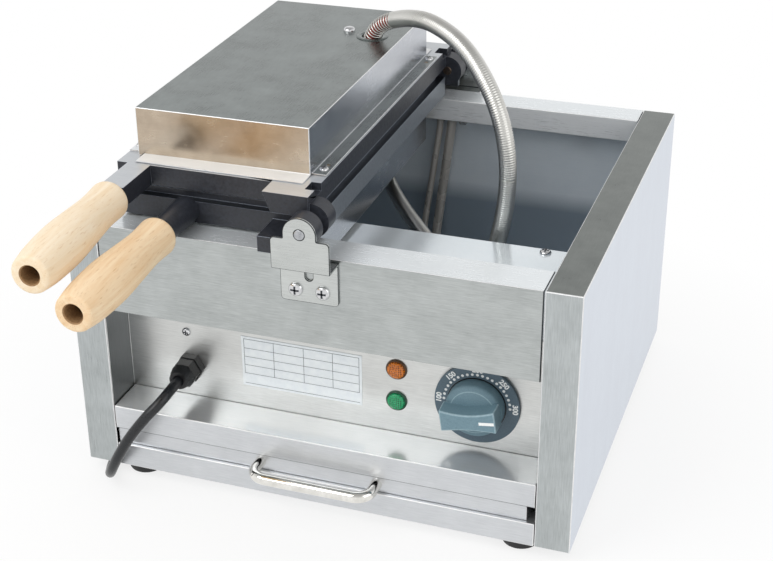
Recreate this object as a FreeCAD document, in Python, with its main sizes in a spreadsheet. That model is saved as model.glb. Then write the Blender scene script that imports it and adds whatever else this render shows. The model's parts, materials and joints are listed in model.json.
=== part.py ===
import FreeCAD, Part
import math
import os

from FreeCAD import Placement, Rotation, Vector

# Driving dimensions in millimetres. x runs left to right from the middle of the
# cabinet, y runs backwards from the cabinet's front face and z upwards from the
# underside of its sheet metal. The part's own origin is under the middle of its
# box, on the surface that the feet stand on.
SIZES = {
    # Cabinet
    "cab_w": 400.0, "cab_d": 358.0, "cab_h": 215.0, "sheet": 1.5, "seam": 0.5,
    "flange_w": 27.0, "front_flange_d": 32.0, "fascia_z": 142.5, "back_lip": 20.0,
    "recess_d": 36.0, "shelf_z": 55.0, "lip_z": 34.5, "rail_h": 20.0, "rail_return": 16.0,
    "deck_z": 176.0, "deck_d": 141.5, "step_z": 95.0, "step_d": 190.0, "floor_z": 38.0,
    # Feet
    "foot_h": 10.0, "foot_top_r": 17.0, "foot_low_r": 14.0, "foot_side": 42.0, "foot_edge": 20.0,
    "foot_sink_r": 6.0, "foot_sink_d": 5.0,
    # Crumb tray, its runners and its handle
    "tray_w": 338.0, "tray_front": 3.0, "tray_len": 327.0, "tray_h": 13.0, "tray_wall": 1.2,
    "tray_gap": 0.3, "tray_off": 3.2, "runner_reach": 38.5, "runner_leg": 14.0, "runner_back": 340.0,
    "pull_span": 96.0, "pull_rod_r": 4.5, "pull_reach": 22.0, "pull_bend": 12.0,
    # Hinge line and brackets
    "hinge_rise": 25.0, "pin_r": 4.0, "pin_gap": 0.05, "pin_proud": 0.6, "bracket_off": 16.0,
    "bracket_t": 2.0, "bracket_w": 45.0, "bracket_low": 178.0, "bracket_fold": 213.0,
    "bracket_shoulder": 236.0, "dome_r": 12.7, "slot_w": 6.0, "slot_low": 196.0,
    "bracket_screw_x": 10.5, "bracket_screw_z": 188.0,
    # Baking plates, measured from the hinge line
    "plate_far": 162.0, "plate_near": 1.5, "plate_inset": 22.5, "upper_t": 15.5, "lower_t": 17.0,
    "upper_gap": 3.5, "lower_gap": 5.5, "plate_skin": 6.5, "well_far": 12.0, "well_near": 14.0,
    "well_end": 14.0, "pad_inset": 7.0, "pad_gap": 0.3, "pad_rim": 9.0, "bake_depth": 0.9,
    "groove_w": 2.0, "groove_d": 1.8, "groove_pitch": 13.0,
    "knuckle_r": 13.0, "lower_knuckle_r": 12.5, "upper_knuckle_front": 7.0, "upper_knuckle_len": 14.5,
    "lower_knuckle_front": -15.7, "lower_knuckle_len": 12.7,
    "arm_far": 37.0, "arm_taper": 6.0, "arm_front": 4.5, "low_arm_front": -8.0, "low_arm_near": 14.0,
    "low_arm_top": 10.5, "low_arm_low": 23.0, "low_arm_tip": 3.0, "notch_w": 9.0, "notch_back": 8.5,
    # Covers
    "cover_sheet": 1.2, "cover_far": 153.0, "cover_near": 13.5, "cover_inset": 40.0, "cover_h": 37.5,
    "cover_lip_side": 11.0, "cover_lip_end": 15.4, "cover_lip_trim": 5.0,
    "cover_screw_x": 7.5, "cover_screw_far": 4.5, "cover_screw_end": 52.0, "conduit_hole_r": 11.5,
    # Heaters and insulation
    "heater_r": 4.0, "heater_bend": 14.0, "heater_side": 20.0, "heater_end": 22.0, "wool_gap": 0.3,
    # Wooden handles
    "handle_len": 127.0, "handle_end_r": 13.8, "handle_swell_r": 17.1, "handle_waist_r": 14.3,
    "handle_neck_r": 15.0, "handle_lean": 3.3,
    "handle_bore_r": 7.0, "handle_bore_d": 40.0, "collar_t": 2.0, "collar_r": 10.5,
    "arm_reach": 21.0, "upper_handle_x": 144.0, "upper_handle_up": 10.5, "upper_arm_w": 19.0,
    "lower_handle_x": 107.0, "lower_handle_down": 13.0, "boss_root_r": 11.0, "boss_tip_r": 9.5,
    "rod_r": 4.0, "rod_root": 14.0, "rod_nut_r": 6.0, "rod_nut_h": 6.0,
    # Control panel
    "dial_x": 117.5, "dial_z": 94.0, "bezel_r": 33.0, "bezel_t": 3.0, "knob_r": 22.0, "knob_base": 11.6,
    "knob_gap": 0.4, "grip_w": 16.5, "grip_len": 42.0, "grip_h": 14.0, "grip_waist": 3.5,
    "grip_turn": 8.0, "shaft_r": 3.0,
    "stat_w": 46.0, "stat_h": 40.0, "stat_d": 38.0, "stat_screw": 14.0,
    "lamp_x": 53.5, "amber_z": 111.0, "green_z": 83.4, "lens_r": 7.4, "lens_rim_r": 8.4, "lens_h": 4.5,
    "lamp_body_r": 6.0, "lamp_body_len": 26.0, "lamp_nut_r": 9.0,
    "gland_x": -119.0, "gland_z": 82.5, "gland_hex_r": 12.0, "gland_hex_t": 7.0, "gland_nut_len": 19.0,
    "gland_tip_r": 7.5, "gland_thread_r": 8.0, "gland_bore_r": 4.6,
    "label_x": -74.5, "label_z": 73.5, "label_w": 100.0, "label_h": 44.0, "label_t": 0.4,
    "panel_screw_x": -121.8, "panel_screw_z": 112.7, "deck_screw_x": 141.5, "deck_screw_y": 135.0,
    # Fasteners
    "screw_r": 2.0, "head_r": 3.6, "head_h": 2.2, "bolt_r": 2.5, "bolt_head_r": 4.3, "bolt_head_h": 2.8,
    "bolt_len": 8.0, "nut_r": 5.2, "nut_h": 3.6, "hole_gap": 0.1,
    # Conduits and the mains lead
    "conduit_r": 7.0, "lower_conduit_r": 6.0, "connector_r": 11.5, "connector_h": 9.0, "connector_gap": 2.0,
    "lead_r": 4.2, "coil_mid_r": 47.0, "coil_turns": 3.0, "coil_x": -141.0, "coil_y": 417.0,
    "rear_tube_r": 4.2, "rear_tube_small_r": 3.0,
    "tie_w": 8.0, "tie_t": 1.2, "plug_len": 46.0, "plug_w": 34.0, "plug_h": 24.0, "plug_nose_r": 7.0,
    "pin_w": 6.3, "pin_t": 2.0, "pin_len": 18.0,
}

doc = FreeCAD.newDocument("waffle_cone_maker")
sheet = doc.addObject("Spreadsheet::Sheet", "sizes")
for row, (alias, number) in enumerate(SIZES.items(), start=1):
    sheet.set(f"A{row}", alias)
    sheet.set(f"B{row}", str(number))
    sheet.setAlias(f"B{row}", alias)
doc.recompute()


class Size:
    """A length that knows both its number and the expression it comes from."""

    def __init__(self, text, number):
        self.text = text
        self.number = number

    def __add__(self, other):
        other = size(other)
        return Size(f"({self.text} + {other.text})", self.number + other.number)

    def __sub__(self, other):
        other = size(other)
        return Size(f"({self.text} - {other.text})", self.number - other.number)

    def __mul__(self, other):
        other = size(other)
        return Size(f"({self.text} * {other.text})", self.number * other.number)

    def __truediv__(self, other):
        other = size(other)
        return Size(f"({self.text} / {other.text})", self.number / other.number)

    def __radd__(self, other):
        return size(other) + self

    def __rsub__(self, other):
        return size(other) - self

    def __rmul__(self, other):
        return size(other) * self

    def __neg__(self):
        return size(0) - self

    def __float__(self):
        return float(self.number)


def size(thing):
    if isinstance(thing, Size):
        return thing
    return Size(f"({thing:.6f})", float(thing))


class Sizes:
    """The sheet's cells as attributes."""

    def __getattr__(self, alias):
        return Size(f"sizes.{alias}", float(sheet.get(alias)))


d = Sizes()

# Places that several pieces share
half_w = d.cab_w / 2
inner_x = half_w - d.sheet
mouth_x = half_w - d.flange_w
front_reach = d.arm_reach + d.collar_t + d.handle_len
rear_reach = d.cab_d + d.bracket_off + d.bracket_t + d.pin_proud
front_y = (front_reach - rear_reach) / 2
hinge_z = d.cab_h + d.hinge_rise
plate_front = d.plate_inset
plate_back = d.cab_d - d.plate_inset
upper_low = hinge_z + d.upper_gap
upper_top = upper_low + d.upper_t
lower_top = hinge_z - d.lower_gap
lower_low = lower_top - d.lower_t
panel_back = d.recess_d + d.sheet
tray_low = d.rail_h + d.tray_gap
floor_level = -d.foot_h

NODES = []


def node(obj, name):
    obj.Label = name
    NODES.append((name, obj))
    return obj


def mirror_y(y):
    """The same place at the back end of the cabinet."""
    return d.cab_d - y


def ordered(low, high):
    low, high = size(low), size(high)
    return (low, high) if float(low) <= float(high) else (high, low)


def place(obj, x, y, z, rotation=None):
    """Put an object at a point of the cabinet, in the part's own frame."""
    obj.Placement = Placement(Vector(), rotation or Rotation())
    for axis, where in (("x", size(x)), ("y", front_y + y), ("z", d.foot_h + z)):
        obj.setExpression(f"Placement.Base.{axis}", where.text)
    return obj


def box(name, x, y, z):
    spans = [ordered(*span) for span in (x, y, z)]
    obj = doc.addObject("Part::Box", name)
    for prop, (low, high) in zip(("Length", "Width", "Height"), spans):
        obj.setExpression(prop, (high - low).text)
    return place(obj, *[low for low, high in spans])


TURNS = {
    "+x": Rotation(Vector(0, 1, 0), 90), "-x": Rotation(Vector(0, 1, 0), -90),
    "+y": Rotation(Vector(1, 0, 0), -90), "-y": Rotation(Vector(1, 0, 0), 90),
    "+z": Rotation(), "-z": Rotation(Vector(1, 0, 0), 180),
}


def cylinder(name, start, way, radius, length):
    obj = doc.addObject("Part::Cylinder", name)
    obj.setExpression("Radius", size(radius).text)
    obj.setExpression("Height", size(length).text)
    return place(obj, *start, TURNS[way])


def cone(name, start, way, radius_start, radius_end, length):
    obj = doc.addObject("Part::Cone", name)
    obj.setExpression("Radius1", size(radius_start).text)
    obj.setExpression("Radius2", size(radius_end).text)
    obj.setExpression("Height", size(length).text)
    return place(obj, *start, TURNS[way])


def hexagon(name, start, way, radius, length):
    obj = doc.addObject("Part::Prism", name)
    obj.Polygon = 6
    obj.setExpression("Circumradius", size(radius).text)
    obj.setExpression("Height", size(length).text)
    return place(obj, *start, TURNS[way])


def fuse(name, pieces):
    obj = doc.addObject("Part::MultiFuse", name)
    obj.Shapes = pieces
    obj.Refine = True
    return obj


def cut(name, base, tools):
    obj = doc.addObject("Part::Cut", name)
    obj.Base = base
    obj.Tool = tools[0] if len(tools) == 1 else fuse(name + "_tools", tools)
    return obj


def group(name, pieces):
    obj = doc.addObject("Part::Compound", name)
    obj.Links = pieces
    return obj


def solid(name, shape):
    """A shape made with Part's own functions, in cabinet coordinates."""
    obj = doc.addObject("Part::Feature", name)
    obj.Shape = shape
    return place(obj, 0, 0, 0)


SKETCH_PLANES = {"x": "YZ_Plane", "y": "XZ_Plane", "z": "XY_Plane"}


def sketch_outline(body, plane, points):
    """A closed outline of straight lines, every corner tied to the sheet."""
    import Sketcher
    support = [item for item in body.Origin.OriginFeatures if item.Role == plane][0]
    sketch = body.newObject("Sketcher::SketchObject", body.Name + "_outline")
    sketch.AttachmentSupport = (support, "")
    sketch.MapMode = "FlatFace"
    corners = [(size(u), size(v)) for u, v in points]
    count = len(corners)
    for index in range(count):
        start, end = corners[index], corners[(index + 1) % count]
        sketch.addGeometry(Part.LineSegment(Vector(float(start[0]), float(start[1]), 0),
                                            Vector(float(end[0]), float(end[1]), 0)))
    for index in range(count):
        sketch.addConstraint(Sketcher.Constraint("Coincident", index, 2, (index + 1) % count, 1))
    for index, corner in enumerate(corners):
        for kind, where in zip(("DistanceX", "DistanceY"), corner):
            number = sketch.addConstraint(Sketcher.Constraint(kind, -1, 1, index, 1, float(where)))
            sketch.setExpression(f"Constraints[{number}]", where.text)
    return sketch


def pad(name, along, points, span):
    """A body padded from an outline; the outline holds the other two axes in order."""
    body = doc.addObject("PartDesign::Body", name)
    sketch = sketch_outline(body, SKETCH_PLANES[along], points)
    low, high = ordered(*span)
    feature = body.newObject("PartDesign::Pad", name + "_pad")
    feature.Profile = sketch
    feature.setExpression("Length", (high - low).text)
    feature.Reversed = along == "y"
    base = {axis: size(0) for axis in "xyz"}
    base[along] = low
    return place(body, base["x"], base["y"], base["z"])


def turned(name, points, start, way):
    """A body turned about its axis; points are radius and distance along the axis."""
    body = doc.addObject("PartDesign::Body", name)
    sketch = sketch_outline(body, "XZ_Plane", points)
    feature = body.newObject("PartDesign::Revolution", name + "_turning")
    feature.Profile = sketch
    feature.ReferenceAxis = (sketch, ["V_Axis"])
    feature.Angle = 360
    return place(body, *start, TURNS[way])


def screw(name, start, way, length, radius=None, head_r=None, head_h=None):
    """A pan-head screw; start is the middle of the face that its head sits on."""
    radius, head_r, head_h = radius or d.screw_r, head_r or d.head_r, head_h or d.head_h
    edge = head_h * 0.45
    points = [(0, -length), (radius, -length), (radius, 0), (head_r, 0), (head_r, edge),
              (head_r * 0.62, head_h), (0, head_h)]
    return turned(name, points, start, way)


def hole(name, start, way, radius, length):
    """A drilled hole, longer than the wall at both ends."""
    margin = size(2)
    x, y, z = [size(value) for value in start]
    back = {"x": x, "y": y, "z": z}
    axis = way[1]
    back[axis] = back[axis] - margin if way[0] == "+" else back[axis] + margin
    return cylinder(name, (back["x"], back["y"], back["z"]), way, radius, size(length) + margin * 2)


def rounded_path(points, bend=None):
    """Straight runs joined by tangent arcs; a free lead gets arcs as large as its runs allow."""
    points = [Vector(*point) for point in points]
    edges = []
    radii = []
    start = points[0]
    for before, corner, after in zip(points, points[1:], points[2:]):
        arriving = (corner - before).normalize()
        leaving = (after - corner).normalize()
        half_turn = arriving.getAngle(leaving) / 2
        shorter = min((corner - before).Length, (after - corner).Length)
        radius = bend or 0.45 * shorter / math.tan(half_turn)
        reach = radius * math.tan(half_turn)
        first = corner - arriving * reach
        last = corner + leaving * reach
        inward = (leaving - arriving).normalize()
        middle = corner + inward * (radius / math.cos(half_turn) - radius)
        edges.append(Part.LineSegment(start, first).toShape())
        edges.append(Part.Arc(first, middle, last).toShape())
        radii.append(radius)
        start = last
    edges.append(Part.LineSegment(start, points[-1]).toShape())
    return Part.Wire(edges), radii


def tube(points, radius, bend=None):
    wire, radii = rounded_path(points, bend)
    first = wire.Edges[0]
    along = first.tangentAt(first.FirstParameter)
    ring = Part.Wire([Part.makeCircle(radius, Vector(*points[0]), along)])
    shape = wire.makePipeShell([ring], True, False)
    expected = math.pi * radius ** 2 * wire.Length
    print(f"tube length {wire.Length:.1f}, radii {[round(value) for value in radii]},",
          f"volume over section times length {shape.Volume / expected:.4f}")
    return shape, wire.Length


def side_panel(name, side):
    """Wall with flanges turned in at the front, the top and the bottom."""
    outer, inner, lip = half_w * side, inner_x * side, mouth_x * side
    wall = box(name + "_wall", (outer, inner), (0, d.cab_d), (0, d.cab_h))
    front = box(name + "_front", (outer, lip), (0, d.sheet), (0, d.cab_h))
    top = box(name + "_top", (outer, lip), (0, d.cab_d), (d.cab_h - d.sheet, d.cab_h))
    bottom = box(name + "_bottom", (outer, lip), (0, d.cab_d), (0, d.sheet))
    return node(fuse(name, [wall, front, top, bottom]), name)


def bracket_screw_places():
    return [(-d.bracket_screw_x, d.bracket_screw_z), (d.bracket_screw_x, d.bracket_screw_z)]


def front_fascia():
    outline = [(0, d.fascia_z), (d.sheet, d.fascia_z), (d.sheet, d.cab_h - d.sheet),
               (d.front_flange_d, d.cab_h - d.sheet), (d.front_flange_d, d.cab_h), (0, d.cab_h)]
    reach = mouth_x - d.seam
    blank = pad("fascia_sheet", "x", outline, (-reach, reach))
    holes = [hole("fascia_hole", (x, 0, z), "+y", d.bolt_r + d.hole_gap, d.sheet)
             for x, z in bracket_screw_places()]
    return node(cut("front_fascia", blank, holes), "front_fascia")


def control_panel():
    """Panel at the back of the recess, with cheeks that run forward to the side panels."""
    edge = mouth_x + d.sheet
    outline = [(-edge, d.sheet), (-mouth_x, d.sheet), (-mouth_x, d.recess_d), (mouth_x, d.recess_d),
               (mouth_x, d.sheet), (edge, d.sheet), (edge, panel_back), (-edge, panel_back)]
    blank = pad("control_panel_sheet", "z", outline, (d.floor_z, d.deck_z - d.sheet))
    start = d.recess_d
    holes = [
        hole("gland_hole", (d.gland_x, start, d.gland_z), "+y", d.gland_thread_r + d.hole_gap, d.sheet),
        hole("dial_hole", (d.dial_x, start, d.dial_z), "+y", d.shaft_r * 2, d.sheet),
        hole("panel_screw_hole", (d.panel_screw_x, start, d.panel_screw_z), "+y",
             d.screw_r + d.hole_gap, d.sheet),
    ]
    for lamp_z in (d.amber_z, d.green_z):
        holes.append(hole("lamp_hole", (d.lamp_x, start, lamp_z), "+y", d.lamp_body_r + d.hole_gap, d.sheet))
    for side in (-1, 1):
        holes.append(hole("stat_hole", (d.dial_x + d.stat_screw * side, start, d.dial_z), "+y",
                          d.screw_r + d.hole_gap, d.sheet))
    return node(cut("control_panel", blank, holes), "control_panel")


def shelf():
    """Ledge at the bottom of the recess, with its front lip over the tray."""
    outline = [(0, d.lip_z), (d.sheet, d.lip_z), (d.sheet, d.shelf_z - d.sheet),
               (d.recess_d, d.shelf_z - d.sheet), (d.recess_d, d.shelf_z), (0, d.shelf_z)]
    reach = mouth_x - d.seam
    return node(pad("shelf", "x", outline, (-reach, reach)), "shelf")


def foot_places():
    across = half_w - d.foot_side
    return [(across * side, y) for side in (-1, 1) for y in (d.foot_edge, mirror_y(d.foot_edge))]


def base_pan():
    """Bottom sheet whose front edge is turned up as the rail under the tray."""
    outline = [(0, 0), (d.cab_d - d.sheet, 0), (d.cab_d - d.sheet, d.sheet), (d.sheet, d.sheet),
               (d.sheet, d.rail_h - d.sheet), (d.rail_return, d.rail_h - d.sheet),
               (d.rail_return, d.rail_h), (0, d.rail_h)]
    reach = mouth_x - d.seam
    blank = pad("base_sheet", "x", outline, (-reach, reach))
    holes = [hole("foot_hole", (x, y, 0), "+z", d.bolt_r + d.hole_gap, d.sheet) for x, y in foot_places()]
    return node(cut("base_pan", blank, holes), "base_pan")


def back_panel():
    """Rear wall with a top flange and the lip turned down from it."""
    wall = box("back_wall", (-inner_x, inner_x), (d.cab_d - d.sheet, d.cab_d), (d.sheet, d.cab_h - d.sheet))
    reach = mouth_x - d.seam
    flange_y = d.cab_d - d.flange_w
    flange = box("back_flange", (-reach, reach), (flange_y, d.cab_d), (d.cab_h - d.sheet, d.cab_h))
    lip = box("back_lip_sheet", (-reach, reach), (flange_y, flange_y + d.sheet),
              (d.cab_h - d.back_lip, d.cab_h - d.sheet))
    holes = [hole("back_hole", (x, d.cab_d, z), "-y", d.bolt_r + d.hole_gap, d.sheet)
             for x, z in bracket_screw_places()]
    return node(cut("back_panel", fuse("back_sheet", [wall, flange, lip]), holes), "back_panel")


# Where the two conduits enter the wiring compartment
upper_entry = (85.0, 168.0)
lower_entry = (43.5, 154.0)


def compartment():
    """Stepped cover over the wiring behind the control panel, and its floor."""
    low = d.floor_z
    outline = [(d.sheet, d.deck_z), (d.sheet, d.deck_z - d.sheet), (d.deck_d - d.sheet, d.deck_z - d.sheet),
               (d.deck_d - d.sheet, d.step_z - d.sheet), (d.step_d - d.sheet, d.step_z - d.sheet),
               (d.step_d - d.sheet, low), (d.step_d, low), (d.step_d, d.step_z), (d.deck_d, d.step_z),
               (d.deck_d, d.deck_z)]
    blank = pad("compartment_sheet", "x", outline, (-inner_x, inner_x))
    holes = [
        hole("upper_entry_hole", (upper_entry[0], upper_entry[1], d.step_z - d.sheet), "+z",
             d.lower_conduit_r - 1, d.sheet),
        hole("lower_entry_hole", (lower_entry[0], d.deck_d - d.sheet, lower_entry[1]), "+y",
             d.lower_conduit_r - 1, d.sheet),
    ]
    for side in (-1, 1):
        holes.append(hole("deck_hole", (d.deck_screw_x * side, d.deck_screw_y, d.deck_z - d.sheet), "+z",
                          d.screw_r + d.hole_gap, d.sheet))
    node(cut("compartment_cover", blank, holes), "compartment_cover")
    node(box("compartment_floor", (-inner_x, inner_x), (d.recess_d, d.step_d),
             (d.floor_z - d.sheet, d.floor_z)), "compartment_floor")


def drawer_runner(name, side):
    """Angle on the side wall that carries one edge of the tray."""
    near, far = inner_x * side, (inner_x - d.runner_reach) * side
    ledge = box(name + "_ledge", (near, far), (d.rail_return + d.seam, d.runner_back),
                (d.rail_h - d.sheet, d.rail_h))
    leg = box(name + "_leg", (near, (inner_x - d.sheet) * side), (d.rail_return + d.seam, d.runner_back),
              (d.rail_h, d.rail_h + d.runner_leg))
    return node(fuse(name, [ledge, leg]), name)


def feet():
    feet_list, screws = [], []
    for x, y in foot_places():
        bore = d.bolt_r + d.hole_gap
        outline = [(bore, 0), (d.foot_top_r, 0), (d.foot_low_r, -d.foot_h), (d.foot_sink_r, -d.foot_h),
                   (d.foot_sink_r, d.foot_sink_d - d.foot_h), (bore, d.foot_sink_d - d.foot_h)]
        feet_list.append(turned("foot", outline, (x, y, 0), "+z"))
        seat = d.foot_sink_d - d.foot_h
        screws.append(screw("foot_screw", (x, y, seat), "-z", d.foot_h,
                            d.bolt_r, d.bolt_head_r, d.bolt_head_h))
    node(group("rubber_feet", feet_list), "rubber_feet")
    node(group("foot_screws", screws), "foot_screws")


def crumb_tray():
    half = d.tray_w / 2
    back = d.tray_front + d.tray_len
    top = tray_low + d.tray_h
    left, right = -half - d.tray_off, half - d.tray_off
    outer = box("tray_blank", (left, right), (d.tray_front, back), (tray_low, top))
    inner = box("tray_inside", (left + d.tray_wall, right - d.tray_wall),
                (d.tray_front + d.tray_wall, back - d.tray_wall), (tray_low + d.tray_wall, top + d.tray_h))
    middle = tray_low + d.tray_h / 2
    legs = [d.pull_span / 2 * side for side in (-1, 1)]
    holes = [hole("pull_hole", (x, d.tray_front, middle), "+y", d.screw_r + d.hole_gap, d.tray_wall)
             for x in legs]
    node(cut("crumb_tray", outer, [inner] + holes), "crumb_tray")
    screw_depth = size(8)
    start, reach, level = float(d.tray_front), float(d.tray_front - d.pull_reach), float(middle)
    span = float(d.pull_span) / 2
    rod, length = tube([(-span, start, level), (-span, reach, level), (span, reach, level),
                        (span, start, level)], float(d.pull_rod_r), float(d.pull_bend))
    handle = solid("pull_rod", rod)
    threads = [hole("pull_thread", (x, d.tray_front, middle), "-y", d.screw_r + d.hole_gap, screw_depth)
               for x in legs]
    node(cut("tray_handle", handle, threads), "tray_handle")
    inside = d.tray_front + d.tray_wall
    node(group("tray_handle_screws", [screw("pull_screw", (x, inside, middle), "+y", screw_depth)
                                      for x in legs]), "tray_handle_screws")


def hinge_bracket(name, face, out):
    """Folded bracket; face is the wall it is bolted to and out the way it stands off."""
    def away(distance):
        return face + distance * out
    half = d.bracket_w / 2
    upright_y = (away(d.bracket_off), away(d.bracket_off + d.bracket_t))
    fold_z = (d.bracket_fold - d.bracket_t, d.bracket_fold)
    way = "-y" if out < 0 else "+y"
    pieces = [
        box(name + "_foot", (-half, half), (face, away(d.bracket_t)), (d.bracket_low, d.bracket_fold)),
        box(name + "_fold", (-half, half), (away(d.bracket_t), away(d.bracket_off)), fold_z),
        box(name + "_upright", (-half, half), upright_y, (fold_z[0], d.bracket_shoulder)),
        box(name + "_neck", (-d.dome_r, d.dome_r), upright_y, (d.bracket_shoulder, hinge_z)),
        cylinder(name + "_dome", (0, away(d.bracket_off), hinge_z), way, d.dome_r, d.bracket_t),
    ]
    slot_half = d.slot_w / 2
    slot_top = fold_z[0]
    tools = [
        hole(name + "_eye", (0, away(d.bracket_off), hinge_z), way, d.pin_r, d.bracket_t),
        box(name + "_slot", (-slot_half, slot_half), (away(-1), away(d.bracket_t + 1)),
            (d.slot_low + slot_half, slot_top)),
        cylinder(name + "_slot_end", (0, away(-1), d.slot_low + slot_half), way, slot_half, d.bracket_t + 2),
    ]
    for x, z in bracket_screw_places():
        tools.append(hole(name + "_hole", (x, face, z), way, d.bolt_r + d.hole_gap, d.bracket_t))
    return node(cut(name, fuse(name + "_blank", pieces), tools), name)


def hinges():
    front_face, back_face = size(0), d.cab_d
    hinge_bracket("front_hinge_bracket", front_face, -1)
    hinge_bracket("rear_hinge_bracket", back_face, 1)
    pin_len = (d.pin_proud + d.bracket_t + d.bracket_off + d.upper_knuckle_front + d.upper_knuckle_len
               + d.pin_proud)
    outer = d.bracket_off + d.bracket_t + d.pin_proud
    node(cylinder("front_hinge_pin", (0, front_face - outer, hinge_z), "+y", d.pin_r, pin_len),
         "front_hinge_pin")
    node(cylinder("rear_hinge_pin", (0, back_face + outer, hinge_z), "-y", d.pin_r, pin_len),
         "rear_hinge_pin")
    screws, nuts = [], []
    for face, out in ((front_face, -1), (back_face, 1)):
        way, inward = ("-y", "+y") if out < 0 else ("+y", "-y")
        inside = face - d.sheet * out
        for x, z in bracket_screw_places():
            screws.append(screw("bracket_screw", (x, face + d.bracket_t * out, z), way, d.bolt_len + d.bracket_t,
                                d.bolt_r, d.bolt_head_r, d.bolt_head_h))
            body = hexagon("bracket_nut_blank", (x, inside, z), inward, d.nut_r, d.nut_h)
            thread = hole("bracket_nut_thread", (x, inside, z), inward, d.bolt_r + d.hole_gap, d.nut_h)
            nuts.append(cut("bracket_nut", body, [thread]))
    node(group("bracket_screws", screws), "bracket_screws")
    node(group("bracket_nuts", nuts), "bracket_nuts")


def baking_pad(name, face, up):
    """Raised baking face with a rim, the shallow wafer pocket and its crossed grooves."""
    far, near = -(d.plate_far - d.pad_inset), -(d.plate_near + d.pad_inset)
    front, back = plate_front + d.pad_inset, plate_back - d.pad_inset
    level = hinge_z + d.pad_gap * up
    pocket_level = level + d.bake_depth * up
    block = box(name + "_pad", (far, near), (front, back), (face, level))
    pocket_x = (far + d.pad_rim, near - d.pad_rim)
    pocket_y = (front + d.pad_rim, back - d.pad_rim)
    tools = [box(name + "_pocket", pocket_x, pocket_y, (pocket_level, level - d.pad_gap * up))]
    groove_z = (pocket_level + d.groove_d * up, level)
    for span, across in ((pocket_x, "x"), (pocket_y, "y")):
        width = float(span[1]) - float(span[0])
        count = int(width // float(d.groove_pitch))
        for step in range(1, count):
            middle = span[0] + (span[1] - span[0]) * (step / count)
            band = (middle - d.groove_w / 2, middle + d.groove_w / 2)
            x = band if across == "x" else pocket_x
            y = band if across == "y" else pocket_y
            tools.append(box(name + "_groove", x, y, groove_z))
    return block, tools


def both_ends(name, make):
    """The same hinge feature at the front end and, mirrored, at the back end."""
    return [make(name + "_front", lambda y: size(y)), make(name + "_back", mirror_y)]


def upper_plate():
    """Upper casting: well for the heater, two hinge arms and the left handle arm."""
    block = box("upper_block", (-d.plate_far, -d.plate_near), (plate_front, plate_back),
                (upper_low, upper_top))
    pad_block, pad_tools = baking_pad("upper", upper_low, 1)
    handle_x = -d.upper_handle_x
    arm = box("upper_handle_arm", (handle_x - d.upper_arm_w / 2, handle_x + d.upper_arm_w / 2),
              (-d.arm_reach, plate_front), (upper_low, upper_top))

    def hinge_arm(name, at):
        outline = [(-d.arm_far, upper_top), (d.arm_taper - d.arm_far, upper_low), (-d.plate_near, upper_low),
                   (-d.plate_near, upper_top)]
        return pad(name, "y", outline, (at(d.arm_front), at(plate_front)))

    def knuckle(name, at):
        low, high = ordered(at(d.upper_knuckle_front), at(d.upper_knuckle_front + d.upper_knuckle_len))
        return cylinder(name, (0, low, hinge_z), "+y", d.knuckle_r, high - low)

    def notch(name, at):
        low = d.arm_front + d.knuckle_r
        return box(name, (-d.notch_w, 0), (at(low), at(plate_front + d.notch_back)),
                   (hinge_z + d.knuckle_r, upper_top + 1))

    well = box("upper_well", (d.well_far - d.plate_far, -d.well_near),
               (plate_front + d.well_end, plate_back - d.well_end), (upper_low + d.plate_skin, upper_top + 1))

    def bore(name, at):
        low, high = ordered(at(d.arm_front), at(plate_front))
        return hole(name, (0, low, hinge_z), "+y", d.pin_r + d.pin_gap, high - low)

    lean = handle_turn()
    way_out = lean.multVec(Vector(0, -2, 0))
    rod_start = (handle_x + way_out.x, way_out.y - d.arm_reach, hinge_z + d.upper_handle_up)
    rod = cylinder("upper_rod_hole", rod_start, "+y", d.rod_r, d.rod_root)
    rod.Placement = Placement(rod.Placement.Base, lean.multiply(TURNS["+y"]))
    seat_start = (handle_x, -d.arm_reach, hinge_z + d.upper_handle_up)
    collar_seat = cylinder("upper_collar_seat", seat_start, "-y", d.collar_r + 1, 3)
    collar_seat.Placement = Placement(collar_seat.Placement.Base, lean.multiply(TURNS["-y"]))
    solids = [block, pad_block, arm] + both_ends("upper_arm", hinge_arm) + both_ends("upper_knuckle", knuckle)
    tools = [well, rod, collar_seat] + pad_tools
    tools += both_ends("upper_notch", notch) + both_ends("upper_bore", bore)
    return node(cut("upper_plate", fuse("upper_casting", solids), tools), "upper_plate")


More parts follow.
